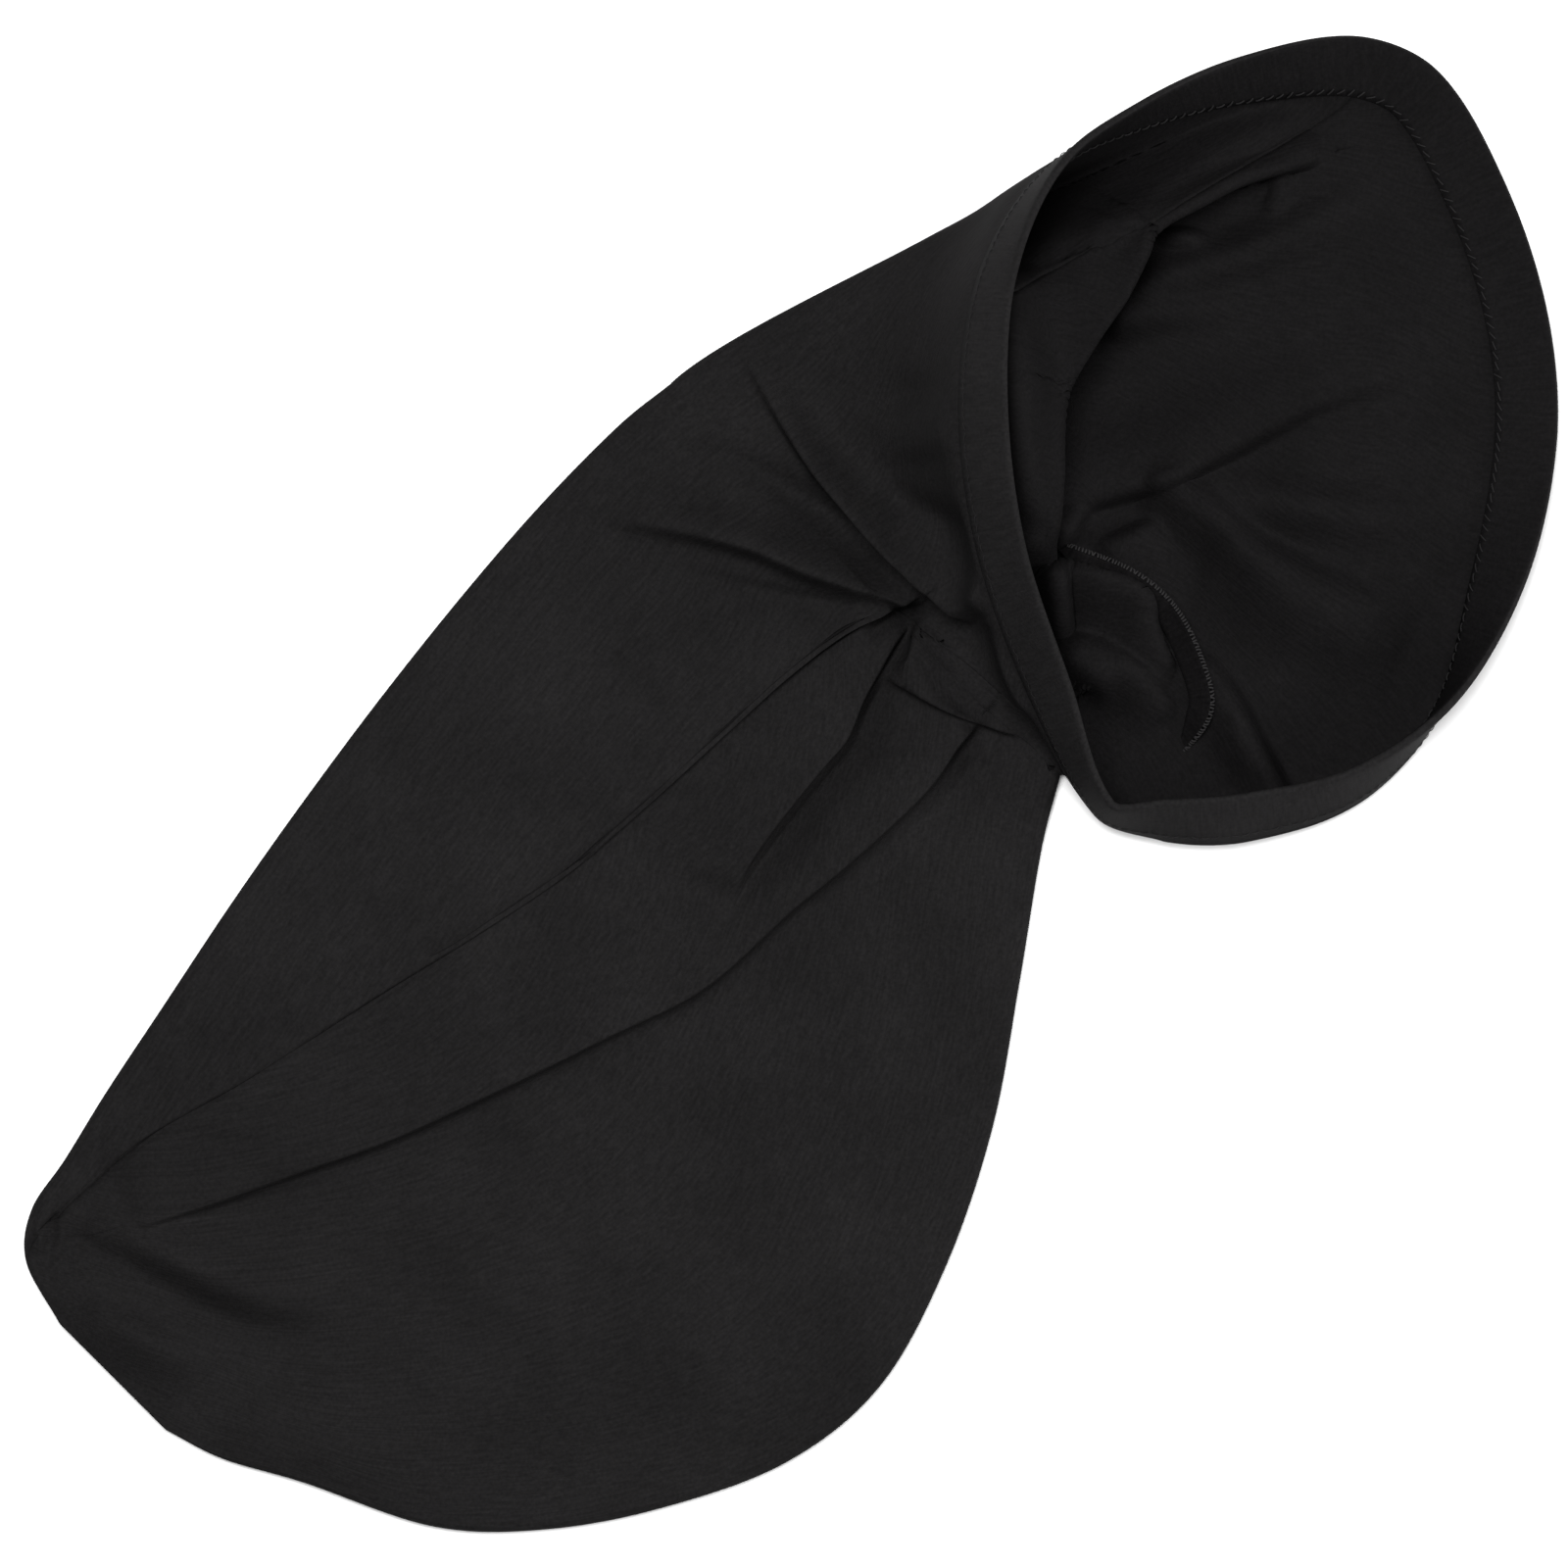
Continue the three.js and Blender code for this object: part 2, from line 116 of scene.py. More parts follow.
# Overlocked strip: how far its outer edge stands up, how far its ends sink, and its two faces
ALLOWANCE_TILT = 2.6
ALLOWANCE_DIP = 2.2
ALLOWANCE_FACES = (1.5, 0.4)
ALLOWANCE_COLUMNS = 7
LOWER_LAYER_TOP = 30.0

# The pouch's closed end lies on the frame's low side along X, and the sides reach as far either way
NECK_X = cad_low.x / MM + POUCH_LENGTH
NECK_Y = -0.334

# Mouth edge. turn: degrees, along: share of CROWN_LENGTH, across: share of BONNET_WIDTH, height:
# share of MOUTH_HEIGHT, lean: degrees in which the hem runs away from the edge, 90 straight down
MOUTH = (
    # turn, along, across, height, lean
    (0, 0.016, -0.207, 0.42, 75),
    (24, 0.086, -0.074, 0.73, 52),
    (52, 0.17, 0.074, 0.94, 46),
    (80, 0.281, 0.2, 1.0, 45),
    (108, 0.406, 0.297, 0.9, 60),
    (140, 0.552, 0.35, 0.65, 84),
    (172, 0.691, 0.337, 0.42, 108),
    (192, 0.829, 0.293, 0.25, 132),
    (206, 0.955, 0.217, 0.15, 157),
    (216, 1.0, 0.124, 0.12, 163),
    (230, 0.963, -0.015, 0.1, 168),
    (247, 0.88, -0.162, 0.1, 168),
    (261, 0.77, -0.275, 0.11, 167),
    (277, 0.611, -0.365, 0.2, 145),
    (295, 0.439, -0.405, 0.31, 100),
    (315, 0.281, -0.382, 0.3, 64),
    (337, 0.149, -0.31, 0.34, 48),
    (351, 0.068, -0.25, 0.38, 55),
)

# Flat pouch from the neck to the closed end. along: share of POUCH_LENGTH, left and right: edges as
# shares of BONNET_WIDTH, loft: share of the air in it, seam: turn of seam A, B is half a turn on
POUCH = (
    # along, left, right, loft, seam
    (0.0, 0.49, -0.145, 1.5, 83.3),
    (0.06, 0.498, -0.19, 1.35, 89.9),
    (0.16, 0.497, -0.28, 1.2, 97.8),
    (0.27, 0.487, -0.375, 1.1, 104.7),
    (0.39, 0.47, -0.45, 1.0, 111.2),
    (0.51, 0.448, -0.494, 1.0, 119.3),
    (0.62, 0.424, -0.48, 1.0, 126.2),
    (0.73, 0.396, -0.416, 0.95, 133.6),
    (0.82, 0.373, -0.338, 0.9, 142.8),
    (0.89, 0.352, -0.245, 0.8, 149.2),
    (0.945, 0.338, -0.105, 0.65, 152.4),
    (0.982, 0.3, -0.02, 0.4, 168),
    (1.0, 0.225, 0.048, 0.0, 180),
)

# Side seams through the crown: way from hem to neck, turn of A, turn of B
CROWN_SEAMS = (
    (0.0, 0, 206),
    (0.25, 2, 206),
    (0.5, 12, 211),
    (0.75, 38, 228),
    (1.0, 83.3, 256),
)

# Folds. points: the visible edge or the middle of the fold as shares along and across; heights: at
# its start, middle and end; left and right: how far it spreads to either side of its travel;
# crest: roundness of the wider side, 2 round, 3 flat; over: share of its height by which the crest
# leans to the left, or to the right below 0
UPPER_FOLDS = (
    # name, points, heights, left, right, crest, over
    ("ridge to the pinch",
     ((0.104, 0.46), (0.076, 0.385), (0.056, 0.306), (0.053, 0.25), (0.054, 0.2), (0.055, 0.15),
      (0.058, 0.096), (0.062, 0.046)),
     (1.0, 10.0, 6.5), 5.0, 2.0, 2.0, -0.2),
    ("valley beside it",
     ((-0.03, 0.43), (-0.005, 0.36), (0.016, 0.3), (0.03, 0.25), (0.038, 0.2), (0.044, 0.15),
      (0.05, 0.11)),
     (-0.5, -4.0, -3.5), 4.0, 5.0, 2.0, 0.0),
    ("second ridge",
     ((-0.13, 0.44), (-0.085, 0.36), (-0.052, 0.29), (-0.034, 0.237), (-0.011, 0.186),
      (0.015, 0.147), (0.045, 0.104)),
     (1.0, 9.5, 6.5), 6.5, 2.8, 2.0, -0.1),
    ("hollow below the second ridge",
     ((-0.12, 0.345), (-0.085, 0.275), (-0.052, 0.215), (-0.02, 0.165)),
     (-0.3, -2.6, -2.0), 2.0, 9.0, 2.0, 0.0),
    ("lobe left of seam A",
     ((0.043, 0.11), (0.013, 0.123), (-0.04, 0.146), (-0.1, 0.156), (-0.192, 0.161),
      (-0.273, 0.165), (-0.339, 0.17), (-0.375, 0.173), (-0.438, 0.188), (-0.5, 0.205),
      (-0.569, 0.227), (-0.632, 0.244), (-0.703, 0.263), (-0.767, 0.285), (-0.837, 0.309),
      (-0.872, 0.312)),
     (4.0, 1.4, 0.6), 1.0, 24.0, 2.2, 0.5),
    ("hollow above seam A",
     ((-0.42, 0.205), (-0.47, 0.214), (-0.528, 0.228)),
     (-0.6, -1.0, -0.4), 2.0, 5.0, 2.0, 0.0),
    ("flap beside seam A",
     ((0.013, 0.101), (-0.016, 0.099), (-0.052, 0.087), (-0.079, 0.077), (-0.105, 0.063),
      (-0.117, 0.058), (-0.145, 0.056), (-0.204, 0.049), (-0.261, 0.039), (-0.292, 0.025)),
     (4.5, 8.0, 4.0), 2.0, 14.0, 2.2, 0.35),
    ("hollow beside the flap",
     ((-0.05, 0.074), (-0.079, 0.066), (-0.105, 0.052), (-0.117, 0.047), (-0.145, 0.045),
      (-0.204, 0.038), (-0.261, 0.028), (-0.32, 0.01)),
     (-2.6, -3.0, -0.4), 5.5, 1.0, 2.0, 0.0),
    ("long pleat",
     ((-0.012, -0.036), (-0.044, -0.036), (-0.082, -0.045), (-0.12, -0.047), (-0.2, -0.042),
      (-0.262, -0.034), (-0.345, -0.03), (-0.388, -0.02), (-0.448, 0.007), (-0.517, 0.036),
      (-0.588, 0.068), (-0.667, 0.105), (-0.74, 0.149), (-0.821, 0.197), (-0.891, 0.244)),
     (6.0, 5.0, 3.0), 2.0, 14.0, 2.0, 0.3),
    ("hollow beside the long pleat",
     ((-0.03, -0.066), (-0.1, -0.072), (-0.2, -0.064), (-0.345, -0.055), (-0.46, -0.018),
      (-0.588, 0.045), (-0.74, 0.125), (-0.86, 0.2)),
     (-3.0, -1.6, -1.0), 8.0, 3.0, 2.0, 0.0),
    ("hole at the pinch",
     ((0.04, 0.1), (0.018, 0.108), (-0.004, 0.103), (-0.024, 0.09), (-0.046, 0.08)),
     (-0.5, -1.8, -1.2), 2.4, 2.4, 2.0, 0.0),
    ("hole above the flap",
     ((0.035, 0.104), (-0.01, 0.128), (-0.045, 0.134)),
     (-2.5, -3.5, -1.0), 3.0, 1.2, 2.0, 0.0),
    ("crown edge over the pouch",
     ((-0.052, 0.087), (-0.045, 0.06), (-0.039, 0.032), (-0.032, 0.007), (-0.023, -0.02),
      (-0.01, -0.056), (0.006, -0.088)),
     (4.0, 6.0, 2.0), 15.0, 1.6, 2.6, -0.35),
    ("left side of that edge",
     ((0.03, 0.094), (0.005, 0.092), (-0.018, 0.076), (-0.036, 0.078)),
     (2.0, 3.5, 2.5), 8.0, 1.3, 2.4, -0.3),
    ("shadow below the near hem",
     ((0.104, 0.24), (0.108, 0.2), (0.119, 0.151), (0.1, 0.113), (0.075, 0.07)),
     (-1.0, -4.0, -2.0), 4.4, 4.0, 2.0, 0.0),
    ("dent of the crown",
     ((0.235, 0.31), (0.19, 0.29), (0.15, 0.28)),
     (-0.8, -1.6, -0.4), 7.0, 7.0, 2.0, 0.0),
    ("swell of the crown",
     ((0.21, 0.29), (0.185, 0.25), (0.16, 0.215)),
     (1.0, 3.4, 2.6), 8.0, 8.0, 2.0, 0.0),
    ("valley at the corner",
     ((-0.954, 0.282), (-0.925, 0.245), (-0.916, 0.208), (-0.902, 0.152), (-0.89, 0.098),
      (-0.871, 0.054), (-0.843, 0.006), (-0.818, -0.035)),
     (-4.0, -2.6, 0.0), 5.0, 5.0, 2.0, 0.0),
    ("swell beyond that valley",
     ((-0.975, 0.22), (-0.955, 0.14), (-0.93, 0.06)),
     (2.4, 5.0, 1.2), 5.0, 6.5, 2.0, 0.0),
    ("swell before that valley",
     ((-0.925, 0.285), (-0.893, 0.21), (-0.87, 0.14), (-0.845, 0.07), (-0.81, 0.01)),
     (2.4, 6.4, 1.2), 9.0, 6.2, 2.0, 0.0),
    ("rolled corner of the closed end",
     ((-0.938, 0.327), (-0.952, 0.316), (-0.965, 0.293)),
     (1.6, 2.2, 1.6), 1.5, 2.0, 2.0, 0.0),
    ("groove beside it",
     ((-0.925, 0.319), (-0.94, 0.309), (-0.956, 0.288)),
     (-1.6, -2.2, -1.6), 1.1, 1.1, 2.0, 0.0),
)

LOWER_FOLDS = (
    # name, points, heights, left, right, crest, over
    ("cloth bunched at the neck",
     ((0.12, -0.12), (0.15, -0.05), (0.2, 0.02), (0.24, 0.08)),
     (1.0, 3.0, 4.0), 14.0, 14.0, 2.0, 0.0),
    ("tall pleat",
     ((0.82, 0.145), (0.726, 0.188), (0.655, 0.207), (0.59, 0.221), (0.551, 0.208),
      (0.494, 0.192), (0.436, 0.183), (0.368, 0.168), (0.336, 0.152), (0.28, 0.11),
      (0.206, 0.056), (0.17, 0.02)),
     (3.0, 28.0, 12.0), 2.0, 30.0, 3.4, 0.25),
    ("cloth rising to the near rim",
     ((0.404, 0.336), (0.345, 0.283), (0.277, 0.215), (0.21, 0.137), (0.154, 0.059)),
     (16.0, 22.0, 10.0), 8.0, 9.0, 2.0, 0.0),
    ("valley behind the tall pleat",
     ((0.5, 0.262), (0.622, 0.25), (0.702, 0.228), (0.784, 0.197), (0.863, 0.178)),
     (-1.0, -4.0, -3.0), 3.5, 3.5, 2.0, 0.0),
    ("upper gather",
     ((0.46, 0.203), (0.482, 0.189), (0.554, 0.173), (0.651, 0.13), (0.747, 0.099), (0.86, 0.075)),
     (5.0, 5.5, 0.0), 5.0, 6.0, 2.0, 0.0),
    ("small gather below it",
     ((0.455, 0.19), (0.477, 0.177), (0.524, 0.146), (0.592, 0.1), (0.68, 0.065)),
     (4.0, 3.0, 0.0), 3.4, 4.4, 2.0, 0.0),
    ("lip in the deep fold",
     ((0.584, 0.208), (0.61, 0.193), (0.628, 0.165)),
     (2.0, 3.5, 1.5), 1.6, 2.4, 2.0, 0.0),
    ("small fold above it",
     ((0.765, 0.172), (0.741, 0.15), (0.704, 0.14)),
     (1.5, 3.0, 1.5), 2.6, 1.6, 2.0, 0.0),
    ("main gather",
     ((0.201, 0.043), (0.23, 0.05), (0.273, 0.06), (0.323, 0.04), (0.37, 0.016),
      (0.435, -0.005), (0.51, -0.025), (0.585, -0.046), (0.66, -0.079), (0.71, -0.104)),
     (8.0, 7.5, 0.6), 16.0, 3.2, 2.0, -0.15),
    ("branch of it",
     ((0.352, 0.03), (0.365, 0.006), (0.38, -0.054), (0.386, -0.123), (0.404, -0.181),
      (0.425, -0.226), (0.46, -0.29)),
     (5.0, 7.0, 0.0), 4.0, 7.5, 2.0, 0.0),
    ("lit band beside the branch",
     ((0.36, 0.01), (0.398, -0.023), (0.437, -0.078), (0.483, -0.133), (0.53, -0.187),
      (0.6, -0.25)),
     (1.0, 5.0, 0.0), 5.5, 6.5, 2.0, 0.0),
    ("swell below the branch",
     ((0.31, -0.09), (0.332, -0.128), (0.365, -0.194), (0.4, -0.26), (0.44, -0.33)),
     (1.0, 6.0, 0.0), 9.0, 10.0, 2.0, 0.0),
    ("lobe beside the seam allowance",
     ((0.235, 0.01), (0.282, -0.01), (0.33, -0.022)),
     (4.0, 6.0, 4.0), 2.0, 9.0, 2.0, 0.0),
    ("first curled gather",
     ((0.187, 0.046), (0.192, 0.038), (0.222, -0.012), (0.248, -0.067), (0.227, -0.094),
      (0.207, -0.13), (0.201, -0.161)),
     (10.0, 11.0, 3.0), 1.6, 8.0, 2.0, 0.3),
    ("second curled gather",
     ((0.114, -0.031), (0.121, -0.041), (0.14, -0.064), (0.155, -0.11), (0.158, -0.153),
      (0.162, -0.186)),
     (6.0, 7.5, 3.0), 3.0, 7.5, 2.0, 0.1),
    ("curl behind the near rim",
     ((0.112, -0.039), (0.117, -0.077), (0.123, -0.1), (0.116, -0.11), (0.095, -0.107)),
     (3.0, 3.5, 1.5), 2.6, 4.5, 2.0, 0.0),
    ("fold below the seam allowance",
     ((0.238, -0.15), (0.232, -0.179), (0.223, -0.224), (0.202, -0.279), (0.19, -0.316),
      (0.17, -0.37)),
     (3.0, 8.0, 5.0), 3.0, 6.0, 2.0, 0.1),
    ("small upright fold",
     ((0.189, 0.044), (0.163, 0.008), (0.126, -0.042)),
     (9.0, 12.0, 9.0), 1.5, 4.0, 2.0, 0.0),
)

# Middle of the overlocked seam allowance on the crown's floor, along and across
ALLOWANCE = (
    (0.127, -0.213),
    (0.19, -0.203),
    (0.222, -0.162),
    (0.246, -0.1),
    (0.24, -0.04),
    (0.2, 0.04),
)


LENGTH = {"subtype": "DISTANCE", "unit": "LENGTH"}


class BonnetSizes(bpy.types.PropertyGroup):
    """Sizes that a user would change"""

    wall: FloatProperty(
        name="Cloth", description="Thickness of the knit cloth",
        default=0.0015, min=0.0008, max=0.003, **LENGTH,
    )
    seam_slit: FloatProperty(
        name="Seam slit", description="Width of the slit between the two panels at a seam",
        default=0.00008, **LENGTH,
    )
    hem_width: FloatProperty(
        name="Hem width", description="Width of the folded hem round the mouth",
        default=0.016, **LENGTH,
    )
    hem_step: FloatProperty(
        name="Hem step", description="How far the double hem stands proud inside the mouth",
        default=0.0006, **LENGTH,
    )
    stitch_length: FloatProperty(
        name="Stitch length", description="Distance from one hem stitch to the next",
        default=0.0026, **LENGTH,
    )
    allowance_width: FloatProperty(
        name="Seam allowance", description="Width of the overlocked seam allowance",
        default=0.0055, **LENGTH,
    )
    loop_spacing: FloatProperty(
        name="Overlock loops", description="Distance from one overlock loop to the next",
        default=0.00085, min=0.0004, max=0.003, **LENGTH,
    )


class KnitFinish(bpy.types.PropertyGroup):
    """Colours and textures that a user would change"""

    knit_colour: FloatVectorProperty(
        name="Knit", description="Colour of the knit's face, outside",
        default=(0.0084, 0.008, 0.0082), subtype="COLOR", min=0.0, max=1.0,
    )
    # Darker than the knit's face: the knit's back, darkened further as painted shade of the hollow
    # inside the crown; the hem's inside and the overlocked strip take it too
    shaded_inside_colour: FloatVectorProperty(
        name="Knit inside, shaded", description="Colour of the knit's back, inside the crown",
        default=(0.0046, 0.0043, 0.0045), subtype="COLOR", min=0.0, max=1.0,
    )
    thread_colour: FloatVectorProperty(
        name="Thread", description="Colour of the hem stitches",
        default=(0.0095, 0.009, 0.0093), subtype="COLOR", min=0.0, max=1.0,
    )
    # Lighter than the knit: the thread's colour with a painted highlight where the raised overlocked
    # edge catches the light
    overlock_colour_with_highlight: FloatVectorProperty(
        name="Overlock", description="Colour of the overlock loops",
        default=(0.0155, 0.0148, 0.0152), subtype="COLOR", min=0.0, max=1.0,
    )
    wale: FloatProperty(
        name="Wale", description="Distance between the fine ribs of the knit",
        default=0.0009, **LENGTH,
    )


class StageSettings(bpy.types.PropertyGroup):
    """Camera, floor and light"""

    camera_height: FloatProperty(
        name="Camera height", description="Height of the camera above the floor",
        default=3.0, **LENGTH,
    )
    picture_width: FloatProperty(
        name="Picture width", description="Width of the floor that the picture shows",
        default=0.4, **LENGTH,
    )
    floor_colour: FloatVectorProperty(
        name="Floor", description="Colour of the floor",
        default=(0.9, 0.9, 0.9), subtype="COLOR", min=0.0, max=1.0,
    )


# Curves and surfaces in numbers


def ease(low, high, x):
    t = np.clip((x - low) / (high - low), 0.0, 1.0)
    return t * t * (3.0 - 2.0 * t)


def mix(a, b, t):
    return a + (b - a) * t


def column_curve(knots, values, x, period=0.0):
    """Smooth curve through one column of a table, which may repeat after a period."""
    knots = np.asarray(knots, float)
    values = np.asarray(values, float)
    if period:
        places = knots[0] + np.mod(x - knots[0], period)
        spots = np.concatenate((knots[-1:] - period, knots, knots[:2] + period))
        heights = np.concatenate((values[-1:], values, values[:2]))
        last = len(knots) - 1
    else:
        places = np.clip(x, knots[0], knots[-1])
        spots = np.concatenate((knots[:1], knots, knots[-1:]))
        heights = np.concatenate((values[:1], values, values[-1:]))
        last = len(knots) - 2
    i = np.clip(np.searchsorted(knots, places, side="right") - 1, 0, last)
    x0, x1, x2, x3 = (spots[i + k] for k in range(4))
    y0, y1, y2, y3 = (heights[i + k] for k in range(4))
    t = np.clip((places - x1) / (x2 - x1), 0.0, 1.0)
    slope1 = (y2 - y0) / (x2 - x0) * (x2 - x1)
    slope2 = (y3 - y1) / (x3 - x1) * (x2 - x1)
    t2 = t * t
    t3 = t2 * t
    return (
        (2 * t3 - 3 * t2 + 1) * y1
        + (t3 - 2 * t2 + t) * slope1
        + (3 * t2 - 2 * t3) * y2
        + (t3 - t2) * slope2
    )


def column(table, index):
    return [row[index] for row in table]


def mouth_column(index, turn):
    return column_curve(column(MOUTH, 0), column(MOUTH, index), turn, 360.0)


def pouch_column(index, way):
    knots = np.arange(len(POUCH)) / (len(POUCH) - 1)
    return column_curve(knots, column(POUCH, index), way)


def along_to_x(along):
    along = np.asarray(along, float)
    return along * np.where(along > 0, CROWN_LENGTH, POUCH_LENGTH)


def round_off(q):
    """Rises with slope 1 and levels out at exactly 1, for round folded edges and flat layers."""
    return np.where(q < 1.5, q - (4.0 / 27.0) * q**3, 1.0)


def pouch_point(turn, way):
    wall = sizes().wall / MM
    left = pouch_column(1, way) * BONNET_WIDTH
    right = pouch_column(2, way) * BONNET_WIDTH
    loft = np.maximum(0.0, pouch_column(3, way))
    half = (left - right) / 2
    radius = wall + SEAM_GAP / 2 + FOLD_ROOM * loft
    angle = np.radians(turn)
    rise = np.sin(angle)
    bend = radius * round_off(np.sqrt(half / radius) * np.abs(rise))
    air = max(0.0, POUCH_AIR - 2 * FOLD_ROOM) * loft
    z = np.where(rise > 0, radius + bend + air * rise * rise, radius - bend)
    x = -pouch_column(0, way) * POUCH_LENGTH
    y = (left + right) / 2 - half * np.cos(angle)
    return np.stack(np.broadcast_arrays(x, y, z), -1)


def mouth_point(turn):
    return np.stack((
        mouth_column(1, turn) * CROWN_LENGTH,
        mouth_column(2, turn) * BONNET_WIDTH,
        mouth_column(3, turn) * MOUTH_HEIGHT,
    ), -1)


def hem_direction(turn):
    """Direction in which the hem runs away from the mouth's edge."""
    ahead = mouth_point(turn + 1.0) - mouth_point(turn - 1.0)
    level = np.hypot(ahead[..., 0], ahead[..., 1])
    lean = np.radians(mouth_column(4, turn))
    return np.stack((
        -ahead[..., 1] / level * np.cos(lean),
        ahead[..., 0] / level * np.cos(lean),
        -np.sin(lean),
    ), -1)


def hem_point(turn, way):
    reach = np.asarray(sizes().hem_width / MM * way)[..., None]
    return mouth_point(turn) + hem_direction(turn) * reach


def hem_hold(span):
    return HEM_REACH * (1.0 - np.exp(-HEM_PULL * span / HEM_REACH))


def crown_span(turn):
    return np.linalg.norm(hem_point(turn, 1.0) - pouch_point(turn, 0.0), axis=-1)


def crown_point(turn, way):
    start = hem_point(turn, 1.0)
    end = pouch_point(turn, 0.0)
    span = crown_span(turn)[..., None]
    t = np.asarray(way)[..., None]
    t2 = t * t
    t3 = t2 * t
    point = start * (2 * t3 - 3 * t2 + 1)
    point = point + hem_direction(turn) * hem_hold(span) * (t3 - 2 * t2 + t)
    point = point + end * (3 * t2 - 2 * t3)
    point[..., 0:1] -= (t3 - t2) * NECK_PULL * span
    return point


def cloth_point(turn, way):
    """Outer face of the cloth before any folds."""
    turn, way = np.broadcast_arrays(np.asarray(turn, float), np.asarray(way, float))
    hem = hem_point(turn, np.clip(way, 0.0, 1.0))
    crown = crown_point(turn, np.clip(way - 1.0, 0.0, 1.0))
    pouch = pouch_point(turn, np.clip(way - 2.0, 0.0, 1.0))
    w = way[..., None]
    point = np.where(w < 1.0, hem, np.where(w < 2.0, crown, pouch))
    z = point[..., 2]
    settled = np.where(z < LANDING, np.maximum(0.0, z + LANDING) ** 2 / (4 * LANDING), z)
    point[..., 2] = np.where(way < 2.0, settled, z)
    return point


def smooth_line(points, steps):
    """Points along a smooth line through the given ones, with the share of its way at each."""
    points = np.asarray(points, float)
    knots = np.concatenate(([0.0], np.cumsum(np.linalg.norm(np.diff(points, axis=0), axis=1))))
    places = np.linspace(0.0, knots[-1], steps)
    line = [column_curve(knots, points[:, k], places) for k in range(points.shape[1])]
    return np.stack(line, -1), places / knots[-1]


def fold_rise(fold, x, y):
    """Moves that one fold adds at the places x, y: aside along x and y, and up."""
    _, points, heights, left, right, crest, over = fold
    corners = [(along_to_x(a), c * BONNET_WIDTH) for a, c in points]
    line, share = smooth_line(corners, 5 * len(points))
    lean = over * column_curve((0.0, 0.5, 1.0), heights, share)
    ahead = np.gradient(line, axis=0)
    ahead /= np.linalg.norm(ahead, axis=1, keepdims=True)
    line = line - np.stack((-ahead[:, 1], ahead[:, 0]), -1) * lean[:, None]
    reach = FOLD_REACH * max(left, right)
    near = (
        (x > line[:, 0].min() - reach) & (x < line[:, 0].max() + reach)
        & (y > line[:, 1].min() - reach) & (y < line[:, 1].max() + reach)
    )
    px, py = x[near], y[near]
    best = np.full(px.shape, np.inf)
    side = np.ones(px.shape)
    way = np.zeros(px.shape)
    aside = np.zeros((*px.shape, 2))
    for k in range(len(line) - 1):
        (ax, ay), (bx, by) = line[k], line[k + 1]
        dx, dy = bx - ax, by - ay
        length = math.hypot(dx, dy)
        t = np.clip(((px - ax) * dx + (py - ay) * dy) / length**2, 0.0, 1.0)
        away = np.hypot(px - ax - dx * t, py - ay - dy * t)
        closer = away < best
        best = np.where(closer, away, best)
        side = np.where(closer, np.sign(dx * (py - ay) - dy * (px - ax)), side)
        way = np.where(closer, mix(share[k], share[k + 1], t), way)
        aside[closer] = (-dy / length, dx / length)
    spread = np.where(side > 0, left, right)
    height = column_curve((0.0, 0.5, 1.0), heights, way)
    long = np.linalg.norm(np.diff(line, axis=0), axis=1).sum()
    taper = min(0.4, FOLD_TAPER / long)
    ends = ease(0.0, taper, way + 0.2 * taper) * ease(0.0, taper, 1.0 + 0.2 * taper - way)
    power = np.where(spread == max(left, right), crest, 2.0)
    rise = height * ends * np.exp(-((best / spread) ** power))
    move = np.zeros((*x.shape, 3))
    move[near] = np.concatenate((aside * (over * rise)[..., None], rise[..., None]), axis=-1)
    return move


def fold_sum(folds, x, y):
    return sum(fold_rise(fold, x, y) for fold in folds)


def soft_noise(x, y, length, seed):
    """Smooth seeded unevenness of about -1 to 1, with waves of about the given length."""
    rng = np.random.default_rng(seed)
    total = np.zeros(x.shape)
    for _ in range(7):
        angle = rng.uniform(0.0, math.tau)
        pace = math.tau / (length * rng.uniform(0.7, 1.5))
        phase = rng.uniform(0.0, math.tau)
        total += np.sin((x * math.cos(angle) + y * math.sin(angle)) * pace + phase)
    return total / 3.5


def raise_folds(point, normal, turn, way):
    """The outer face with its folds: the upper layer's rise outwards and the lower one's inwards."""
    x, y, z = point[..., 0], point[..., 1], point[..., 2]
    rise = np.sin(np.radians(turn))
    side = ease(0.1, 0.5, np.abs(rise))
    clear = ease(1.02, 1.2, way) * (1.0 - ease(2.93, 3.0, way))
    ripple = 0.8 * soft_noise(x, y, 70.0, 3) + 0.35 * soft_noise(x, y, 26.0, 5)
    upper = fold_sum(UPPER_FOLDS, x, y)
    upper[..., 2] = np.maximum(upper[..., 2] + ripple, -(z - UPPER_LEAST) * VALLEY_SHARE)
    inside = 1.0 - ease(1.8, 2.0, way)
    lower = fold_sum(LOWER_FOLDS, x, y) * inside[..., None]
    lower[..., 2] = np.maximum(0.0, lower[..., 2] + 1.1 * np.maximum(0.0, ripple) * inside)
    up = np.array((0.0, 0.0, 1.0))
    outward = normal + up
    outward /= np.maximum(np.linalg.norm(outward, axis=-1, keepdims=True), 1e-6)
    inward = up - normal
    inward /= np.maximum(np.linalg.norm(inward, axis=-1, keepdims=True), 1e-6)
    above = (rise > 0)[..., None]
    fold = np.where(above, upper, lower)
    move = np.where(above, outward, inward) * fold[..., 2:]
    move[..., :2] += fold[..., :2]
    moved = point + move * (side * clear)[..., None]
    moved[..., 2] = np.maximum(moved[..., 2], FLOOR_GAP)
    return moved


def grid_normals(point, closes_round=True):
    """Outward normals of a grid of rows by columns."""
    if closes_round:
        wrapped = np.concatenate((point[:, -1:], point, point[:, :1]), axis=1)
        around = wrapped[:, 2:] - wrapped[:, :-2]
    else:
        around = np.gradient(point, axis=1)
    down = np.gradient(point, axis=0)
    normal = np.cross(around, down)
    return normal / np.maximum(np.linalg.norm(normal, axis=-1, keepdims=True), 1e-9)


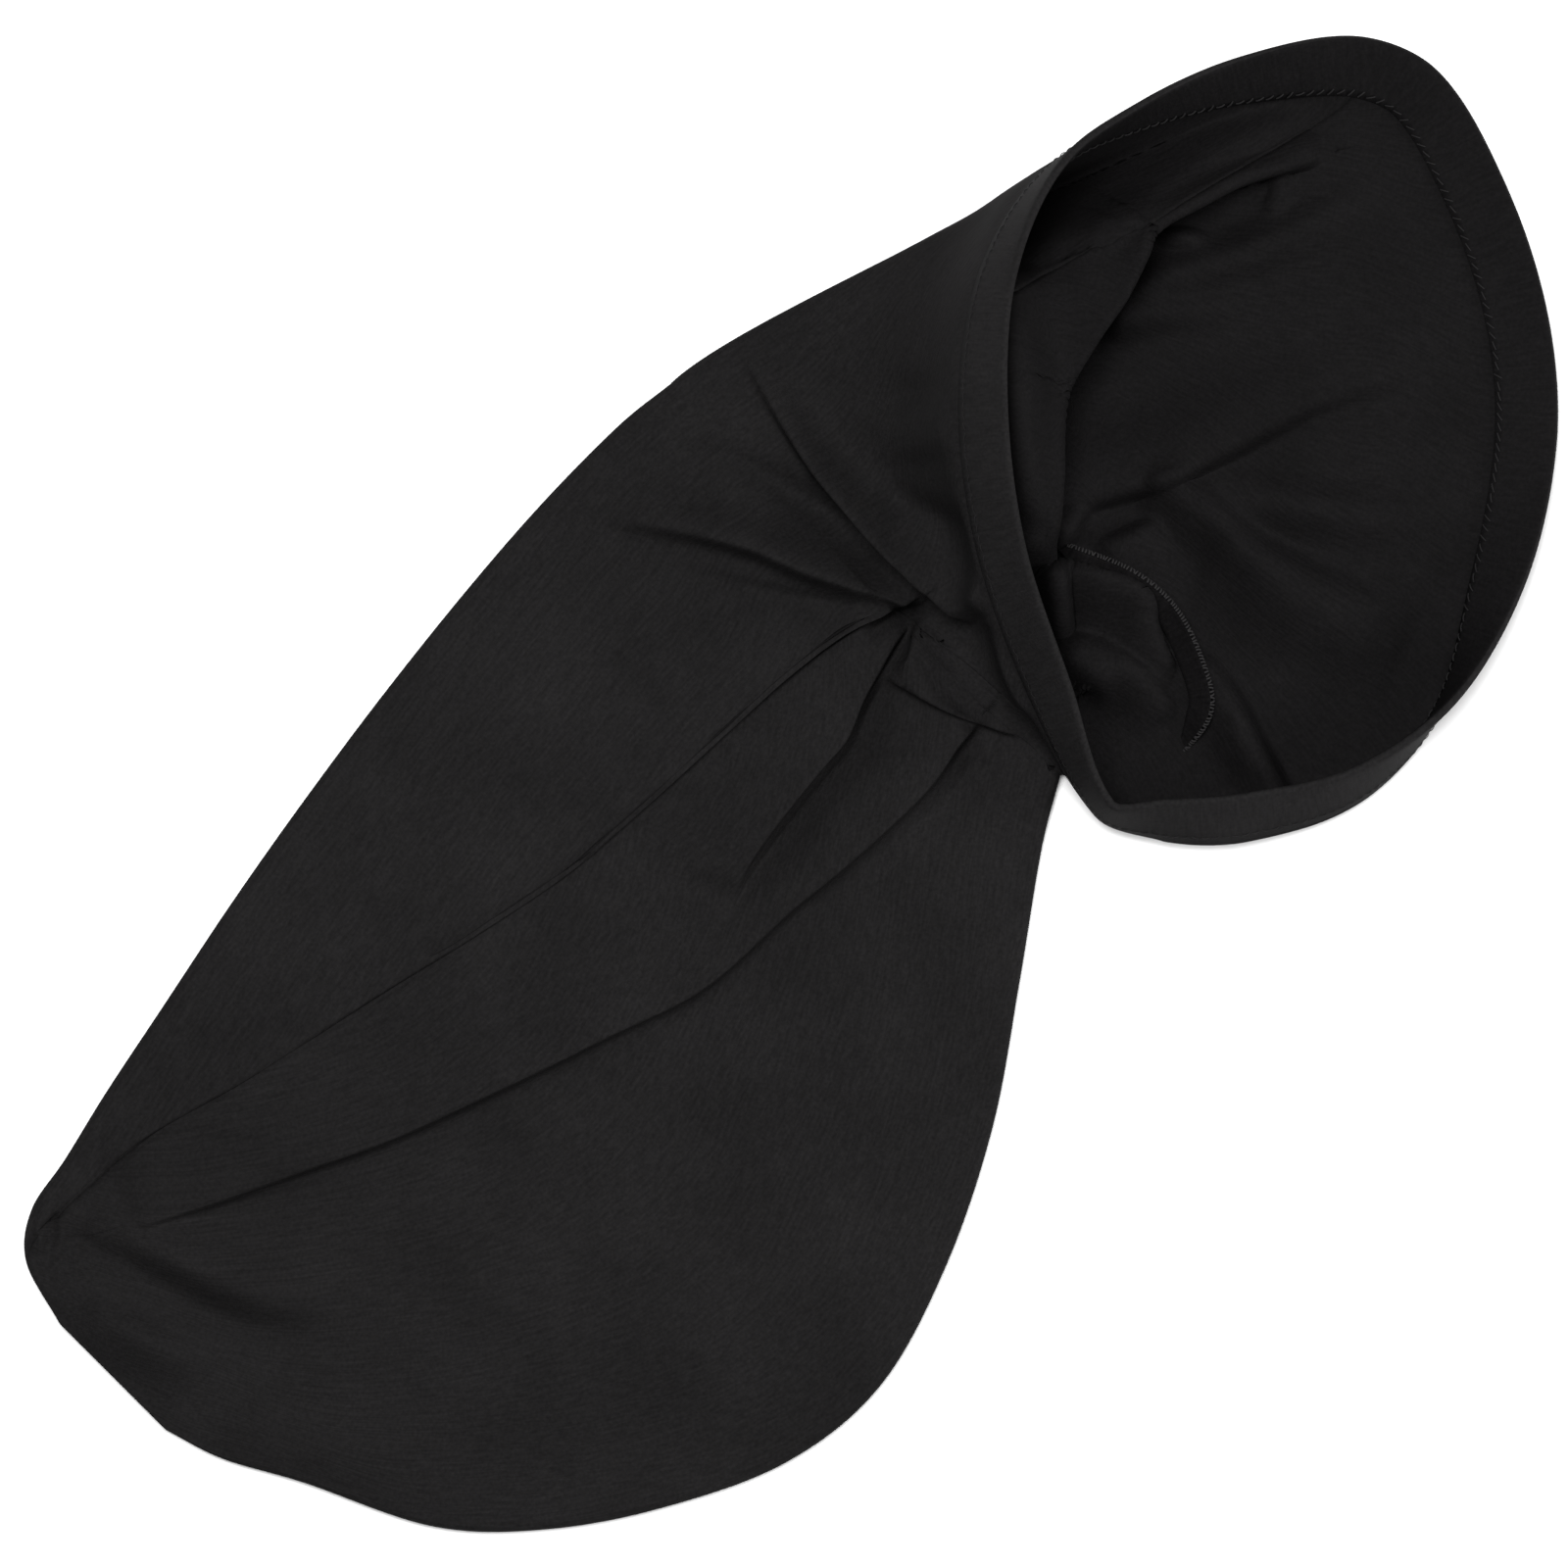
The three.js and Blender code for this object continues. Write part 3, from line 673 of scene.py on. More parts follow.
def seam_a(way):
    crown = column_curve(column(CROWN_SEAMS, 0), column(CROWN_SEAMS, 1), way - 1.0)
    return np.where(way < 2.0, crown, pouch_column(4, way - 2.0))


def seam_b(way):
    crown = column_curve(column(CROWN_SEAMS, 0), column(CROWN_SEAMS, 2), way - 1.0)
    return np.where(way < 2.0, crown, pouch_column(4, way - 2.0) + 180.0)


def even_turns(first, next_turn, crown_share, pouch_share, columns):
    """Turns of one panel's points, evenly spaced over the cloth and closer in its bends."""
    shares = np.linspace(0.0, 1.0, TURN_TRIES)[None, :]
    turn = mix(first[:, None], next_turn[:, None], shares)
    way = cloth_way(turn, crown_share[:, None], pouch_share[:, None])
    point = cloth_point(turn, way)
    point = raise_folds(point, grid_normals(point, False), turn, way)
    step = np.diff(point, axis=1)
    length = np.linalg.norm(step, axis=-1)
    heading = step / np.maximum(length[..., None], 1e-9)
    bend = np.linalg.norm(np.diff(heading, axis=1), axis=-1)
    bend = np.concatenate((bend, bend[:, -1:]), axis=1)
    measure = np.cumsum(length + BEND_SHARE * bend + 1e-4, axis=1)
    measure = np.concatenate((np.zeros((len(measure), 1)), measure), axis=1)
    measure = even_out(measure / measure[:, -1:])
    wanted = np.linspace(0.0, 1.0, columns + 1)
    return np.stack([np.interp(wanted, measure[i], turn[i]) for i in range(len(turn))])


def even_out(rows, reach=4):
    """Averages each row with its neighbours, so that the columns run smoothly."""
    padded = np.pad(rows, ((reach, reach), (0, 0)), mode="edge")
    weights = np.hanning(2 * reach + 3)[1:-1]
    weights /= weights.sum()
    return sum(w * padded[k:k + len(rows)] for k, w in enumerate(weights))


def cloth_way(turn, crown_share, pouch_share):
    gap = CLOTH_GAP / hem_hold(crown_span(turn))
    return 1.0 + mix(gap, 1.0, crown_share**CROWN_PACKING) + pouch_share


def arc_across(point, turns, edge):
    """Distance along each row from the turn of its folded edge, for the knit's own map."""
    step = np.linalg.norm(np.diff(point, axis=1), axis=-1)
    arc = np.concatenate((np.zeros((len(step), 1)), np.cumsum(step, axis=1)), axis=1)
    start = [np.interp(edge, row_turns, row_arc) for row_turns, row_arc in zip(turns, arc)]
    return arc - np.array(start)[:, None]


def cloth_tube():
    """Turns and outer points of the whole cloth, the front panel's columns before the back's."""
    row = np.arange(CROWN_ROWS + POUCH_ROWS + 1)
    crown_share = np.minimum(1.0, row / CROWN_ROWS)
    pouch_share = np.maximum(0.0, (row - CROWN_ROWS) / POUCH_ROWS) ** POUCH_PACKING
    level = 1.0 + crown_share + pouch_share
    front = even_turns(seam_a(level), seam_b(level), crown_share, pouch_share, FRONT_COLUMNS)
    back = even_turns(
        seam_b(level), seam_a(level) + 360.0, crown_share, pouch_share, BACK_COLUMNS
    )
    turn = np.concatenate((front[:, :-1], back[:, :-1]), axis=1)
    way = cloth_way(turn, crown_share[:, None], pouch_share[:, None])
    point = cloth_point(turn, way)
    point = raise_folds(point, grid_normals(point), turn, way)
    return turn, point


def panel_slice(grid, first, columns):
    wrapped = np.concatenate((grid, grid[:, :1]), axis=1)
    return wrapped[:, first:first + columns + 1].copy()


def groove_seams(point, normal):
    """Lets the cloth dip on both sides of each seam, deeper on the pouch than on the crown."""
    depth = mix(CROWN_DIP, POUCH_DIP, ease(0.0, 20.0, np.arange(len(point)) - CROWN_ROWS))
    for seam in (0, FRONT_COLUMNS):
        for side in (1, -1):
            gone = np.zeros(len(point))
            before = seam
            for _ in range(DIP_COLUMNS):
                column_now = (before + side) % point.shape[1]
                step = point[:, column_now] - point[:, before % point.shape[1]]
                gone = gone + np.linalg.norm(step, axis=-1)
                dip = depth * np.exp(-((gone / DIP_WIDTH) ** 2))
                point[:, column_now] -= normal[:, column_now] * dip[:, None]
                before = column_now
        point[:, seam] -= normal[:, seam] * depth[:, None]
    point[..., 2] = np.maximum(point[..., 2], FLOOR_GAP)
    return point


def open_slit(grids, column_index, towards):
    slit = sizes().seam_slit / MM
    outer, inner = grids
    line = outer[:, column_index].copy()
    ahead = np.gradient(line, axis=0)
    aside = np.cross(line - inner[:, column_index], ahead)
    aside /= np.maximum(np.linalg.norm(aside, axis=-1, keepdims=True), 1e-9)
    for grid in grids:
        grid[:, column_index] += aside * towards * slit / 2
        grid[:, column_index, 2] = np.maximum(grid[:, column_index, 2], FLOOR_GAP)


def shell_faces(rows, columns, closes_round):
    """Quads of a closed body whose outer grid comes before its inner grid."""
    across = columns if closes_round else columns - 1
    i, j = np.meshgrid(np.arange(rows - 1), np.arange(across), indexing="ij")
    a = i * columns + j
    b = i * columns + (j + 1) % columns
    c = a + columns
    d = b + columns
    inner = rows * columns
    faces = [
        np.stack((a, b, d, c), -1).reshape(-1, 4),
        np.stack((a, c, d, b), -1).reshape(-1, 4) + inner,
    ]
    k = np.arange(across)
    top, top_next = k, (k + 1) % columns
    low = top + (rows - 1) * columns
    low_next = top_next + (rows - 1) * columns
    faces.append(np.stack((top_next, top, top + inner, top_next + inner), -1))
    faces.append(np.stack((low, low_next, low_next + inner, low + inner), -1))
    if not closes_round:
        m = np.arange(rows - 1) * columns
        n = m + columns
        end = columns - 1
        faces.append(np.stack((m, n, n + inner, m + inner), -1))
        faces.append(np.stack((n + end, m + end, m + end + inner, n + end + inner), -1))
    return np.concatenate(faces)


def make_mesh(name, points, faces, material, maps=None):
    """Object from points in millimetres, placed in the frame, with a map of the cloth's own lengths."""
    mesh = bpy.data.meshes.new(name)
    place = (np.asarray(points, float) + (NECK_X, NECK_Y, 0.0)) * MM
    mesh.from_pydata(place.tolist(), [], np.asarray(faces).tolist())
    mesh.validate()
    mesh.shade_smooth()
    if maps is not None:
        layer = mesh.uv_layers.new(name="knit")
        corner = np.empty(len(mesh.loops), dtype=np.int32)
        mesh.loops.foreach_get("vertex_index", corner)
        layer.data.foreach_set("uv", np.asarray(maps, float)[corner].ravel())
    mesh.materials.append(material)
    piece = bpy.data.objects.new(name, mesh)
    bpy.context.scene.collection.objects.link(piece)
    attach(piece, "root")
    return piece


def paint_faces(piece, material, chosen):
    """Gives the chosen faces a second material."""
    piece.data.materials.append(material)
    piece.data.polygons.foreach_set("material_index", chosen.astype(np.int32))


def sizes():
    return bpy.context.scene.bonnet_sizes


def finish_of():
    return bpy.context.scene.bonnet_finish


# Materials


def noise_node(nodes, scale, detail):
    texture = nodes.new("ShaderNodeTexNoise")
    texture.inputs["Scale"].default_value = scale
    texture.inputs["Detail"].default_value = detail
    return texture


def knit_material(name, colour, wale, roughness, gloss, bump):
    """Knit cloth: fine uneven wales along its own map, soft clouds of colour, and a dull surface."""
    material = bpy.data.materials.new(name)
    material.use_nodes = True
    nodes = material.node_tree.nodes
    links = material.node_tree.links
    shader = nodes["Principled BSDF"]
    shader.inputs["Roughness"].default_value = roughness
    shader.inputs["Specular IOR Level"].default_value = gloss

    own_map = nodes.new("ShaderNodeUVMap")
    own_map.uv_map = "knit"
    stretch = nodes.new("ShaderNodeMapping")
    stretch.inputs["Scale"].default_value = (MM / wale, 0.13 * MM / wale, 1.0)
    links.new(own_map.outputs["UV"], stretch.inputs["Vector"])
    wales = noise_node(nodes, 1.0, 2.0)
    links.new(stretch.outputs["Vector"], wales.inputs["Vector"])

    spots = nodes.new("ShaderNodeTexCoord")
    fuzz = noise_node(nodes, 1100.0, 3.0)
    links.new(spots.outputs["Object"], fuzz.inputs["Vector"])
    clouds = noise_node(nodes, 34.0, 1.5)
    links.new(spots.outputs["Object"], clouds.inputs["Vector"])

    shade = nodes.new("ShaderNodeMix")
    shade.data_type = "RGBA"
    shade.inputs["A"].default_value = [c * 0.7 for c in colour] + [1.0]
    shade.inputs["B"].default_value = [c * 1.3 for c in colour] + [1.0]
    links.new(clouds.outputs["Fac"], shade.inputs["Factor"])
    before = shade
    for texture, low, high in ((wales, 0.84, 1.16), (fuzz, 0.82, 1.18)):
        speck = nodes.new("ShaderNodeMapRange")
        speck.inputs["From Min"].default_value = 0.3
        speck.inputs["From Max"].default_value = 0.7
        speck.inputs["To Min"].default_value = low
        speck.inputs["To Max"].default_value = high
        links.new(texture.outputs["Fac"], speck.inputs["Value"])
        grain = nodes.new("ShaderNodeMix")
        grain.data_type = "RGBA"
        grain.blend_type = "MULTIPLY"
        grain.inputs["Factor"].default_value = 1.0
        links.new(before.outputs["Result"], grain.inputs["A"])
        links.new(speck.outputs["Result"], grain.inputs["B"])
        before = grain
    links.new(before.outputs["Result"], shader.inputs["Base Color"])

    last = None
    for texture, strength in ((wales, bump), (fuzz, 0.2)):
        relief = nodes.new("ShaderNodeBump")
        relief.inputs["Strength"].default_value = strength
        relief.inputs["Distance"].default_value = 0.0003
        links.new(texture.outputs["Fac"], relief.inputs["Height"])
        if last:
            links.new(last.outputs["Normal"], relief.inputs["Normal"])
        last = relief
    links.new(last.outputs["Normal"], shader.inputs["Normal"])
    return material


def plain_material(name, colour, roughness):
    material = bpy.data.materials.new(name)
    material.use_nodes = True
    shader = material.node_tree.nodes["Principled BSDF"]
    shader.inputs["Base Color"].default_value = (*colour, 1.0)
    shader.inputs["Roughness"].default_value = roughness
    shader.inputs["Specular IOR Level"].default_value = 0.1
    return material


# Stitches


def link_nodes(tree, links):
    for source, output, target, name in links:
        tree.links.new(source.outputs[output], target.inputs[name])


def math_node(tree, operation, factor=None):
    node = tree.nodes.new("ShaderNodeMath")
    node.operation = operation
    if factor is not None:
        node.inputs[1].default_value = factor
    return node


def stitch_tree():
    """Stitches laid along a path: arcs of thread at even steps, turned a little unevenly."""
    tree = bpy.data.node_groups.new("stitch_row", "GeometryNodeTree")
    sockets = (
        # name, kind, default
        ("Path", "NodeSocketGeometry", None),
        ("Spacing", "NodeSocketFloat", 0.0026),
        ("Length", "NodeSocketFloat", 0.0021),
        ("Lift", "NodeSocketFloat", 0.0004),
        ("Thread Radius", "NodeSocketFloat", 0.00017),
        ("Slant", "NodeSocketFloat", 0.0),
        ("Unevenness", "NodeSocketFloat", 0.15),
        ("Seed", "NodeSocketInt", 7),
        ("Thread", "NodeSocketMaterial", None),
    )
    for name, kind, default in sockets:
        socket = tree.interface.new_socket(name, in_out="INPUT", socket_type=kind)
        if default is not None:
            socket.default_value = default
    tree.interface.new_socket("Stitches", in_out="OUTPUT", socket_type="NodeSocketGeometry")
    new = tree.nodes.new
    given = new("NodeGroupInput")
    done = new("NodeGroupOutput")

    curve = new("GeometryNodeMeshToCurve")
    steps = new("GeometryNodeResampleCurve")
    steps.mode = "LENGTH"
    tangent = new("GeometryNodeInputTangent")
    up = new("GeometryNodeInputNamedAttribute")
    up.data_type = "FLOAT_VECTOR"
    up.inputs["Name"].default_value = "up"
    along = new("FunctionNodeAlignRotationToVector")
    along.axis = "X"
    upright = new("FunctionNodeAlignRotationToVector")
    upright.axis = "Z"
    upright.pivot_axis = "X"
    chance = new("FunctionNodeRandomValue")
    chance.data_type = "FLOAT"
    least = math_node(tree, "MULTIPLY", -1.0)
    angle = math_node(tree, "ADD")
    slanted = new("ShaderNodeCombineXYZ")
    slant = new("FunctionNodeEulerToRotation")
    turned = new("FunctionNodeRotateRotation")
    turned.rotation_space = "LOCAL"

    half = math_node(tree, "MULTIPLY", 0.5)
    back = math_node(tree, "MULTIPLY", -0.5)
    high = math_node(tree, "MULTIPLY", 2.0)
    first = new("ShaderNodeCombineXYZ")
    middle = new("ShaderNodeCombineXYZ")
    last = new("ShaderNodeCombineXYZ")
    arc = new("GeometryNodeCurveQuadraticBezier")
    arc.inputs["Resolution"].default_value = 5
    profile = new("GeometryNodeCurvePrimitiveCircle")
    profile.inputs["Resolution"].default_value = 5
    thread = new("GeometryNodeCurveToMesh")
    thread.inputs["Fill Caps"].default_value = True
    placed = new("GeometryNodeInstanceOnPoints")
    real = new("GeometryNodeRealizeInstances")
    painted = new("GeometryNodeSetMaterial")
    link_nodes(tree, (
        (given, "Path", curve, "Mesh"),
        (curve, "Curve", steps, "Curve"),
        (given, "Spacing", steps, "Length"),
        (tangent, "Tangent", along, "Vector"),
        (along, "Rotation", upright, "Rotation"),
        (up, "Attribute", upright, "Vector"),
        (given, "Unevenness", chance, 3),
        (given, "Unevenness", least, 0),
        (least, 0, chance, 2),
        (given, "Seed", chance, "Seed"),
        (chance, 1, angle, 0),
        (given, "Slant", angle, 1),
        (angle, 0, slanted, "Z"),
        (slanted, 0, slant, "Euler"),
        (upright, "Rotation", turned, "Rotation"),
        (slant, "Rotation", turned, "Rotate By"),
        (given, "Length", half, 0),
        (given, "Length", back, 0),
        (given, "Lift", high, 0),
        (back, 0, first, "X"),
        (high, 0, middle, "Z"),
        (half, 0, last, "X"),
        (first, 0, arc, "Start"),
        (middle, 0, arc, "Middle"),
        (last, 0, arc, "End"),
        (given, "Thread Radius", profile, "Radius"),
        (arc, "Curve", thread, "Curve"),
        (profile, "Curve", thread, "Profile Curve"),
        (steps, "Curve", placed, "Points"),
        (thread, "Mesh", placed, "Instance"),
        (turned, "Rotation", placed, "Rotation"),
        (placed, "Instances", real, "Geometry"),
        (real, "Geometry", painted, "Geometry"),
        (given, "Thread", painted, "Material"),
        (painted, "Geometry", done, "Stitches"),
    ))
    return tree


def stitch_row(name, path, up, closed, material, values):
    """Mesh of stitches along a path in millimetres, each lifted the way that up points."""
    points = (np.asarray(path) + (NECK_X, NECK_Y, 0.0)) * MM
    count = len(points)
    edges = [(k, (k + 1) % count) for k in range(count if closed else count - 1)]
    line = bpy.data.meshes.new(name)
    line.from_pydata(points.tolist(), edges, [])
    ways = line.attributes.new("up", "FLOAT_VECTOR", "POINT")
    ways.data.foreach_set("vector", np.asarray(up, np.float32).ravel())
    piece = bpy.data.objects.new(name, line)
    bpy.context.scene.collection.objects.link(piece)
    tree = bpy.data.node_groups.get("stitch_row") or stitch_tree()
    row = piece.modifiers.new("stitches", "NODES")
    row.node_group = tree
    for item in tree.interface.items_tree:
        if item.name in values:
            row[item.identifier] = values[item.name]
        elif item.name == "Thread":
            row[item.identifier] = material
    whole = piece.evaluated_get(bpy.context.evaluated_depsgraph_get())
    piece.data = bpy.data.meshes.new_from_object(whole)
    piece.data.name = name
    piece.modifiers.clear()
    piece.data.shade_smooth()
    bpy.data.meshes.remove(line)
    return piece


# Pieces


class BONNET_OT_knit_panels(bpy.types.Operator):
    """Build the two knit panels of the crown and the pouch"""

    bl_idname = "bonnet.knit_panels"
    bl_label = "Knit panels"

    def execute(self, context):
        finish = finish_of()
        knit = knit_material("black_knit", finish.knit_colour, finish.wale, 0.75, 0.02, 0.3)
        back = knit_material("knit_inside_shaded", finish.shaded_inside_colour, finish.wale, 0.75, 0.03, 0.3)
        turn, outer = cloth_tube()
        outer = groove_seams(outer, grid_normals(outer))
        inner = outer - grid_normals(outer) * (sizes().wall / MM)
        inner[..., 2] = np.maximum(inner[..., 2], FLOOR_GAP)
        lengths = np.cumsum(
            np.linalg.norm(np.diff(outer, axis=0, prepend=outer[:1]), axis=-1), axis=0
        )
        plans = (
            ("knit_front_panel", "front_panel", 0, FRONT_COLUMNS, 180.0, (0.235, 0.465), 0.062),
            ("knit_back_panel", "back_panel", FRONT_COLUMNS, BACK_COLUMNS, 360.0, (0.25, 0.49),
             0.072),
        )
        for name, node, first, columns, edge, flat, area in plans:
            grids = [panel_slice(outer, first, columns), panel_slice(inner, first, columns)]
            turns = panel_slice(turn, first, columns)
            turns[:, 1:] = np.where(turns[:, 1:] < turns[:, :1], turns[:, 1:] + 360.0, turns[:, 1:])
            open_slit(grids, 0, 1.0)
            open_slit(grids, columns, -1.0)
            across = arc_across(grids[0], turns, edge)
            down = panel_slice(lengths, first, columns)
            maps = np.stack((across, down), -1).reshape(-1, 2)
            points = np.concatenate([grid.reshape(-1, 3) for grid in grids])
            faces = shell_faces(grids[0].shape[0], columns + 1, False)
            piece = make_mesh(name, points, faces, knit, np.concatenate((maps, maps)))
            # The inner faces get the darker inside material, which holds painted shade of the hollow
            # inside the crown
            paint_faces(piece, back, faces.min(axis=1) >= len(points) // 2)
            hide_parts(node)
        return {"FINISHED"}


class BONNET_OT_hem_band(bpy.types.Operator):
    """Build the folded hem round the mouth"""

    bl_idname = "bonnet.hem_band"
    bl_label = "Hem"

    def execute(self, context):
        finish = finish_of()
        knit = knit_material("hem_knit", finish.knit_colour, finish.wale, 0.75, 0.035, 0.35)
        back = knit_material("hem_inside_shaded", finish.shaded_inside_colour, finish.wale, 0.75, 0.03, 0.35)
        wall = sizes().wall / MM
        step = sizes().hem_step / MM
        turn = np.arange(BAND_COLUMNS) * 360.0 / BAND_COLUMNS
        half = (wall + step + BAND_OUT) / 2
        middle = half - BAND_OUT
        section = []
        for way in np.linspace(1.0, 0.08, BAND_SIDE_ROWS):
            section.append((way, -BAND_OUT - BAND_BULGE * math.sin(math.pi * way)))
        for k in range(1, BAND_RIM_STEPS):
            angle = math.pi * k / BAND_RIM_STEPS
            section.append((0.075 - 0.075 * math.sin(angle), middle - half * math.cos(angle)))
        for way in np.linspace(0.08, 1.0, BAND_SIDE_ROWS):
            section.append((way, wall + step))
        ring = []
        for way, depth in section:
            ring.append(band_point(turn, np.full(turn.shape, way), depth))
        points = np.stack(ring)
        rows = len(section)
        i, j = np.meshgrid(np.arange(rows), np.arange(BAND_COLUMNS), indexing="ij")
        after = (i + 1) % rows
        beside = (j + 1) % BAND_COLUMNS
        faces = np.stack((
            i * BAND_COLUMNS + j, after * BAND_COLUMNS + j,
            after * BAND_COLUMNS + beside, i * BAND_COLUMNS + beside,
        ), -1).reshape(-1, 4)
        arc = np.cumsum(np.linalg.norm(points[0] - np.roll(points[0], 1, axis=0), axis=-1))
        across = np.broadcast_to(arc, (rows, BAND_COLUMNS))
        down = np.broadcast_to((np.arange(rows) * 2.0)[:, None], (rows, BAND_COLUMNS))
        maps = np.stack((across, down), -1).reshape(-1, 2)
        piece = make_mesh("hem_band_knit", points.reshape(-1, 3), faces, knit, maps)
        inside = np.arange(len(faces)) // BAND_COLUMNS > BAND_SIDE_ROWS + BAND_RIM_STEPS // 2
        # The hem's inner faces get the darker inside material, with painted shade of the mouth's hollow
        paint_faces(piece, back, inside)
        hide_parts("hem_band")
        return {"FINISHED"}


class BONNET_OT_hem_stitches(bpy.types.Operator):
    """Sew the hem: a chain inside the mouth and a fine line outside"""

    bl_idname = "bonnet.hem_stitches"
    bl_label = "Hem stitches"

    def execute(self, context):
        thread = plain_material("hem_thread", finish_of().thread_colour, 0.8)
        wall = sizes().wall / MM
        step = sizes().hem_step / MM
        turn = np.arange(360.0)
        spacing = sizes().stitch_length
        rows = (
            # name, way, depth, side, length, slant, radius
            ("hem_chain_inside", 0.93, wall + step, 1.0, 0.0022, 0.6, 0.00022),
            ("hem_line_outside", 0.87, -0.12, -1.0, 0.0019, 0.0, 0.00012),
        )
        for name, way, depth, side, length, slant, radius in rows:
            ways = np.full(turn.shape, way)
            path = band_point(turn, ways, depth)
            up = (band_point(turn, ways, depth + 1.0) - path) * side
            piece = stitch_row(name, path, up, True, thread, {
                "Spacing": spacing, "Length": length, "Slant": slant, "Lift": 0.0003,
                "Thread Radius": radius, "Unevenness": 0.4,
            })
            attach(piece, "root")
        return {"FINISHED"}


def band_point(turn, way, depth):
    """Point of the hem at a depth below its outer face."""
    small = 0.02
    around = cloth_point(turn + 0.3, way) - cloth_point(turn - 0.3, way)
    down = cloth_point(turn, np.minimum(way + small, 0.999)) - cloth_point(
        turn, np.maximum(np.minimum(way, 0.999 - small) - small, 0.0)
    )
    normal = np.cross(around, down)
    normal /= np.linalg.norm(normal, axis=-1, keepdims=True)
    return cloth_point(turn, np.minimum(way, 0.9999)) - normal * depth


class BONNET_OT_seam_allowance(bpy.types.Operator):
    """Build the overlocked seam allowance on the crown's floor"""

    bl_idname = "bonnet.seam_allowance"
    bl_label = "Seam allowance"

    def execute(self, context):
        finish = finish_of()
        # The strip takes the darker inside colour as painted shade of the hollow beside the raised
        # overlocked edge
        strip = knit_material("overlocked_edge_shaded", finish.shaded_inside_colour, finish.wale, 0.8, 0.0, 0.4)
        # The loops' lighter colour holds a painted highlight of the raised edge
        thread = plain_material("overlock_thread_with_highlight", finish.overlock_colour_with_highlight, 0.8)
        _, outer = cloth_tube()
        inner = outer - grid_normals(outer) * (sizes().wall / MM)
        corners = [(along_to_x(a), c * BONNET_WIDTH) for a, c in ALLOWANCE]
        line, _ = smooth_line(corners, 90)
        ahead = np.gradient(line, axis=0)
        ahead /= np.linalg.norm(ahead, axis=-1, keepdims=True)
        left = np.stack((-ahead[:, 1], ahead[:, 0]), -1)
        width = sizes().allowance_width / MM
        floor = smooth_heights(floor_height(inner[:CROWN_ROWS].reshape(-1, 3), line))
        share = np.linspace(0.0, 1.0, len(line))
        whole = ease(0.0, 0.16, share) * ease(0.0, 0.1, 1.0 - share)
        grids = []
        for lift in ALLOWANCE_FACES:
            rows = []
            for side in np.linspace(0.5, -0.5, ALLOWANCE_COLUMNS):
                spot = line + left * (-0.5 + (side + 0.5) * (0.3 + 0.7 * whole))[:, None] * width
                raised = ALLOWANCE_TILT * (0.5 - side) * whole + ALLOWANCE_DIP * (whole - 1.0)
                rows.append(np.column_stack((spot, floor + lift + raised)))
            grids.append(np.stack(rows, 1))
        points = np.concatenate([grid.reshape(-1, 3) for grid in grids])
        faces = shell_faces(len(line), ALLOWANCE_COLUMNS, False)
        steps = np.meshgrid(np.arange(len(line)), np.arange(ALLOWANCE_COLUMNS), indexing="ij")
        maps = np.stack(steps, -1).reshape(-1, 2)
        piece = make_mesh("overlocked_allowance", points, faces, strip, np.concatenate((maps, maps)))
        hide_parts("seam_allowance")

        edge = (grids[0][:, -1] + grids[1][:, -1]) / 2
        out = np.column_stack((-left, np.full(len(line), 0.7)))
        loops = stitch_row("overlock_loops", edge + out * 0.25, out, False, thread, {
            "Spacing": sizes().loop_spacing, "Length": 0.0017, "Slant": math.pi / 2,
            "Lift": 0.0005, "Thread Radius": 0.00026, "Unevenness": 0.45,
        })
        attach(loops, "root")
        return {"FINISHED"}


def smooth_heights(heights, reach=9):
    """Running mean of the strip's heights, which carries it over the small folds below."""
    padded = np.pad(heights, reach, mode="edge")
    return np.convolve(padded, np.full(2 * reach + 1, 1 / (2 * reach + 1)), mode="valid")


def floor_height(points, spots):
    """Height of the crown's floor at each spot, from its nearest points on the lower layer."""
    low = points[points[:, 2] < LOWER_LAYER_TOP]
    heights = []
    for spot in spots:
        away = np.hypot(low[:, 0] - spot[0], low[:, 1] - spot[1])
        nearest = np.argsort(away)[:4]
        weight = 1.0 / (away[nearest] + 0.05)
        heights.append((low[nearest, 2] * weight).sum() / weight.sum())
    return np.array(heights)


FLOOR_REACH = 4.0
SKY_STRENGTH = 0.48
CAMERA_PLACE = (-0.0092, 0.0158)
CAMERA_TURN = -45.0
LIGHTS = (
    # name, place, size, watts
    ("key_light", (0.2, 0.6, 3.0), 1.2, 118.0),
    ("low_light", (0.8, -1.0, 0.5), 0.5, 14.0),
)


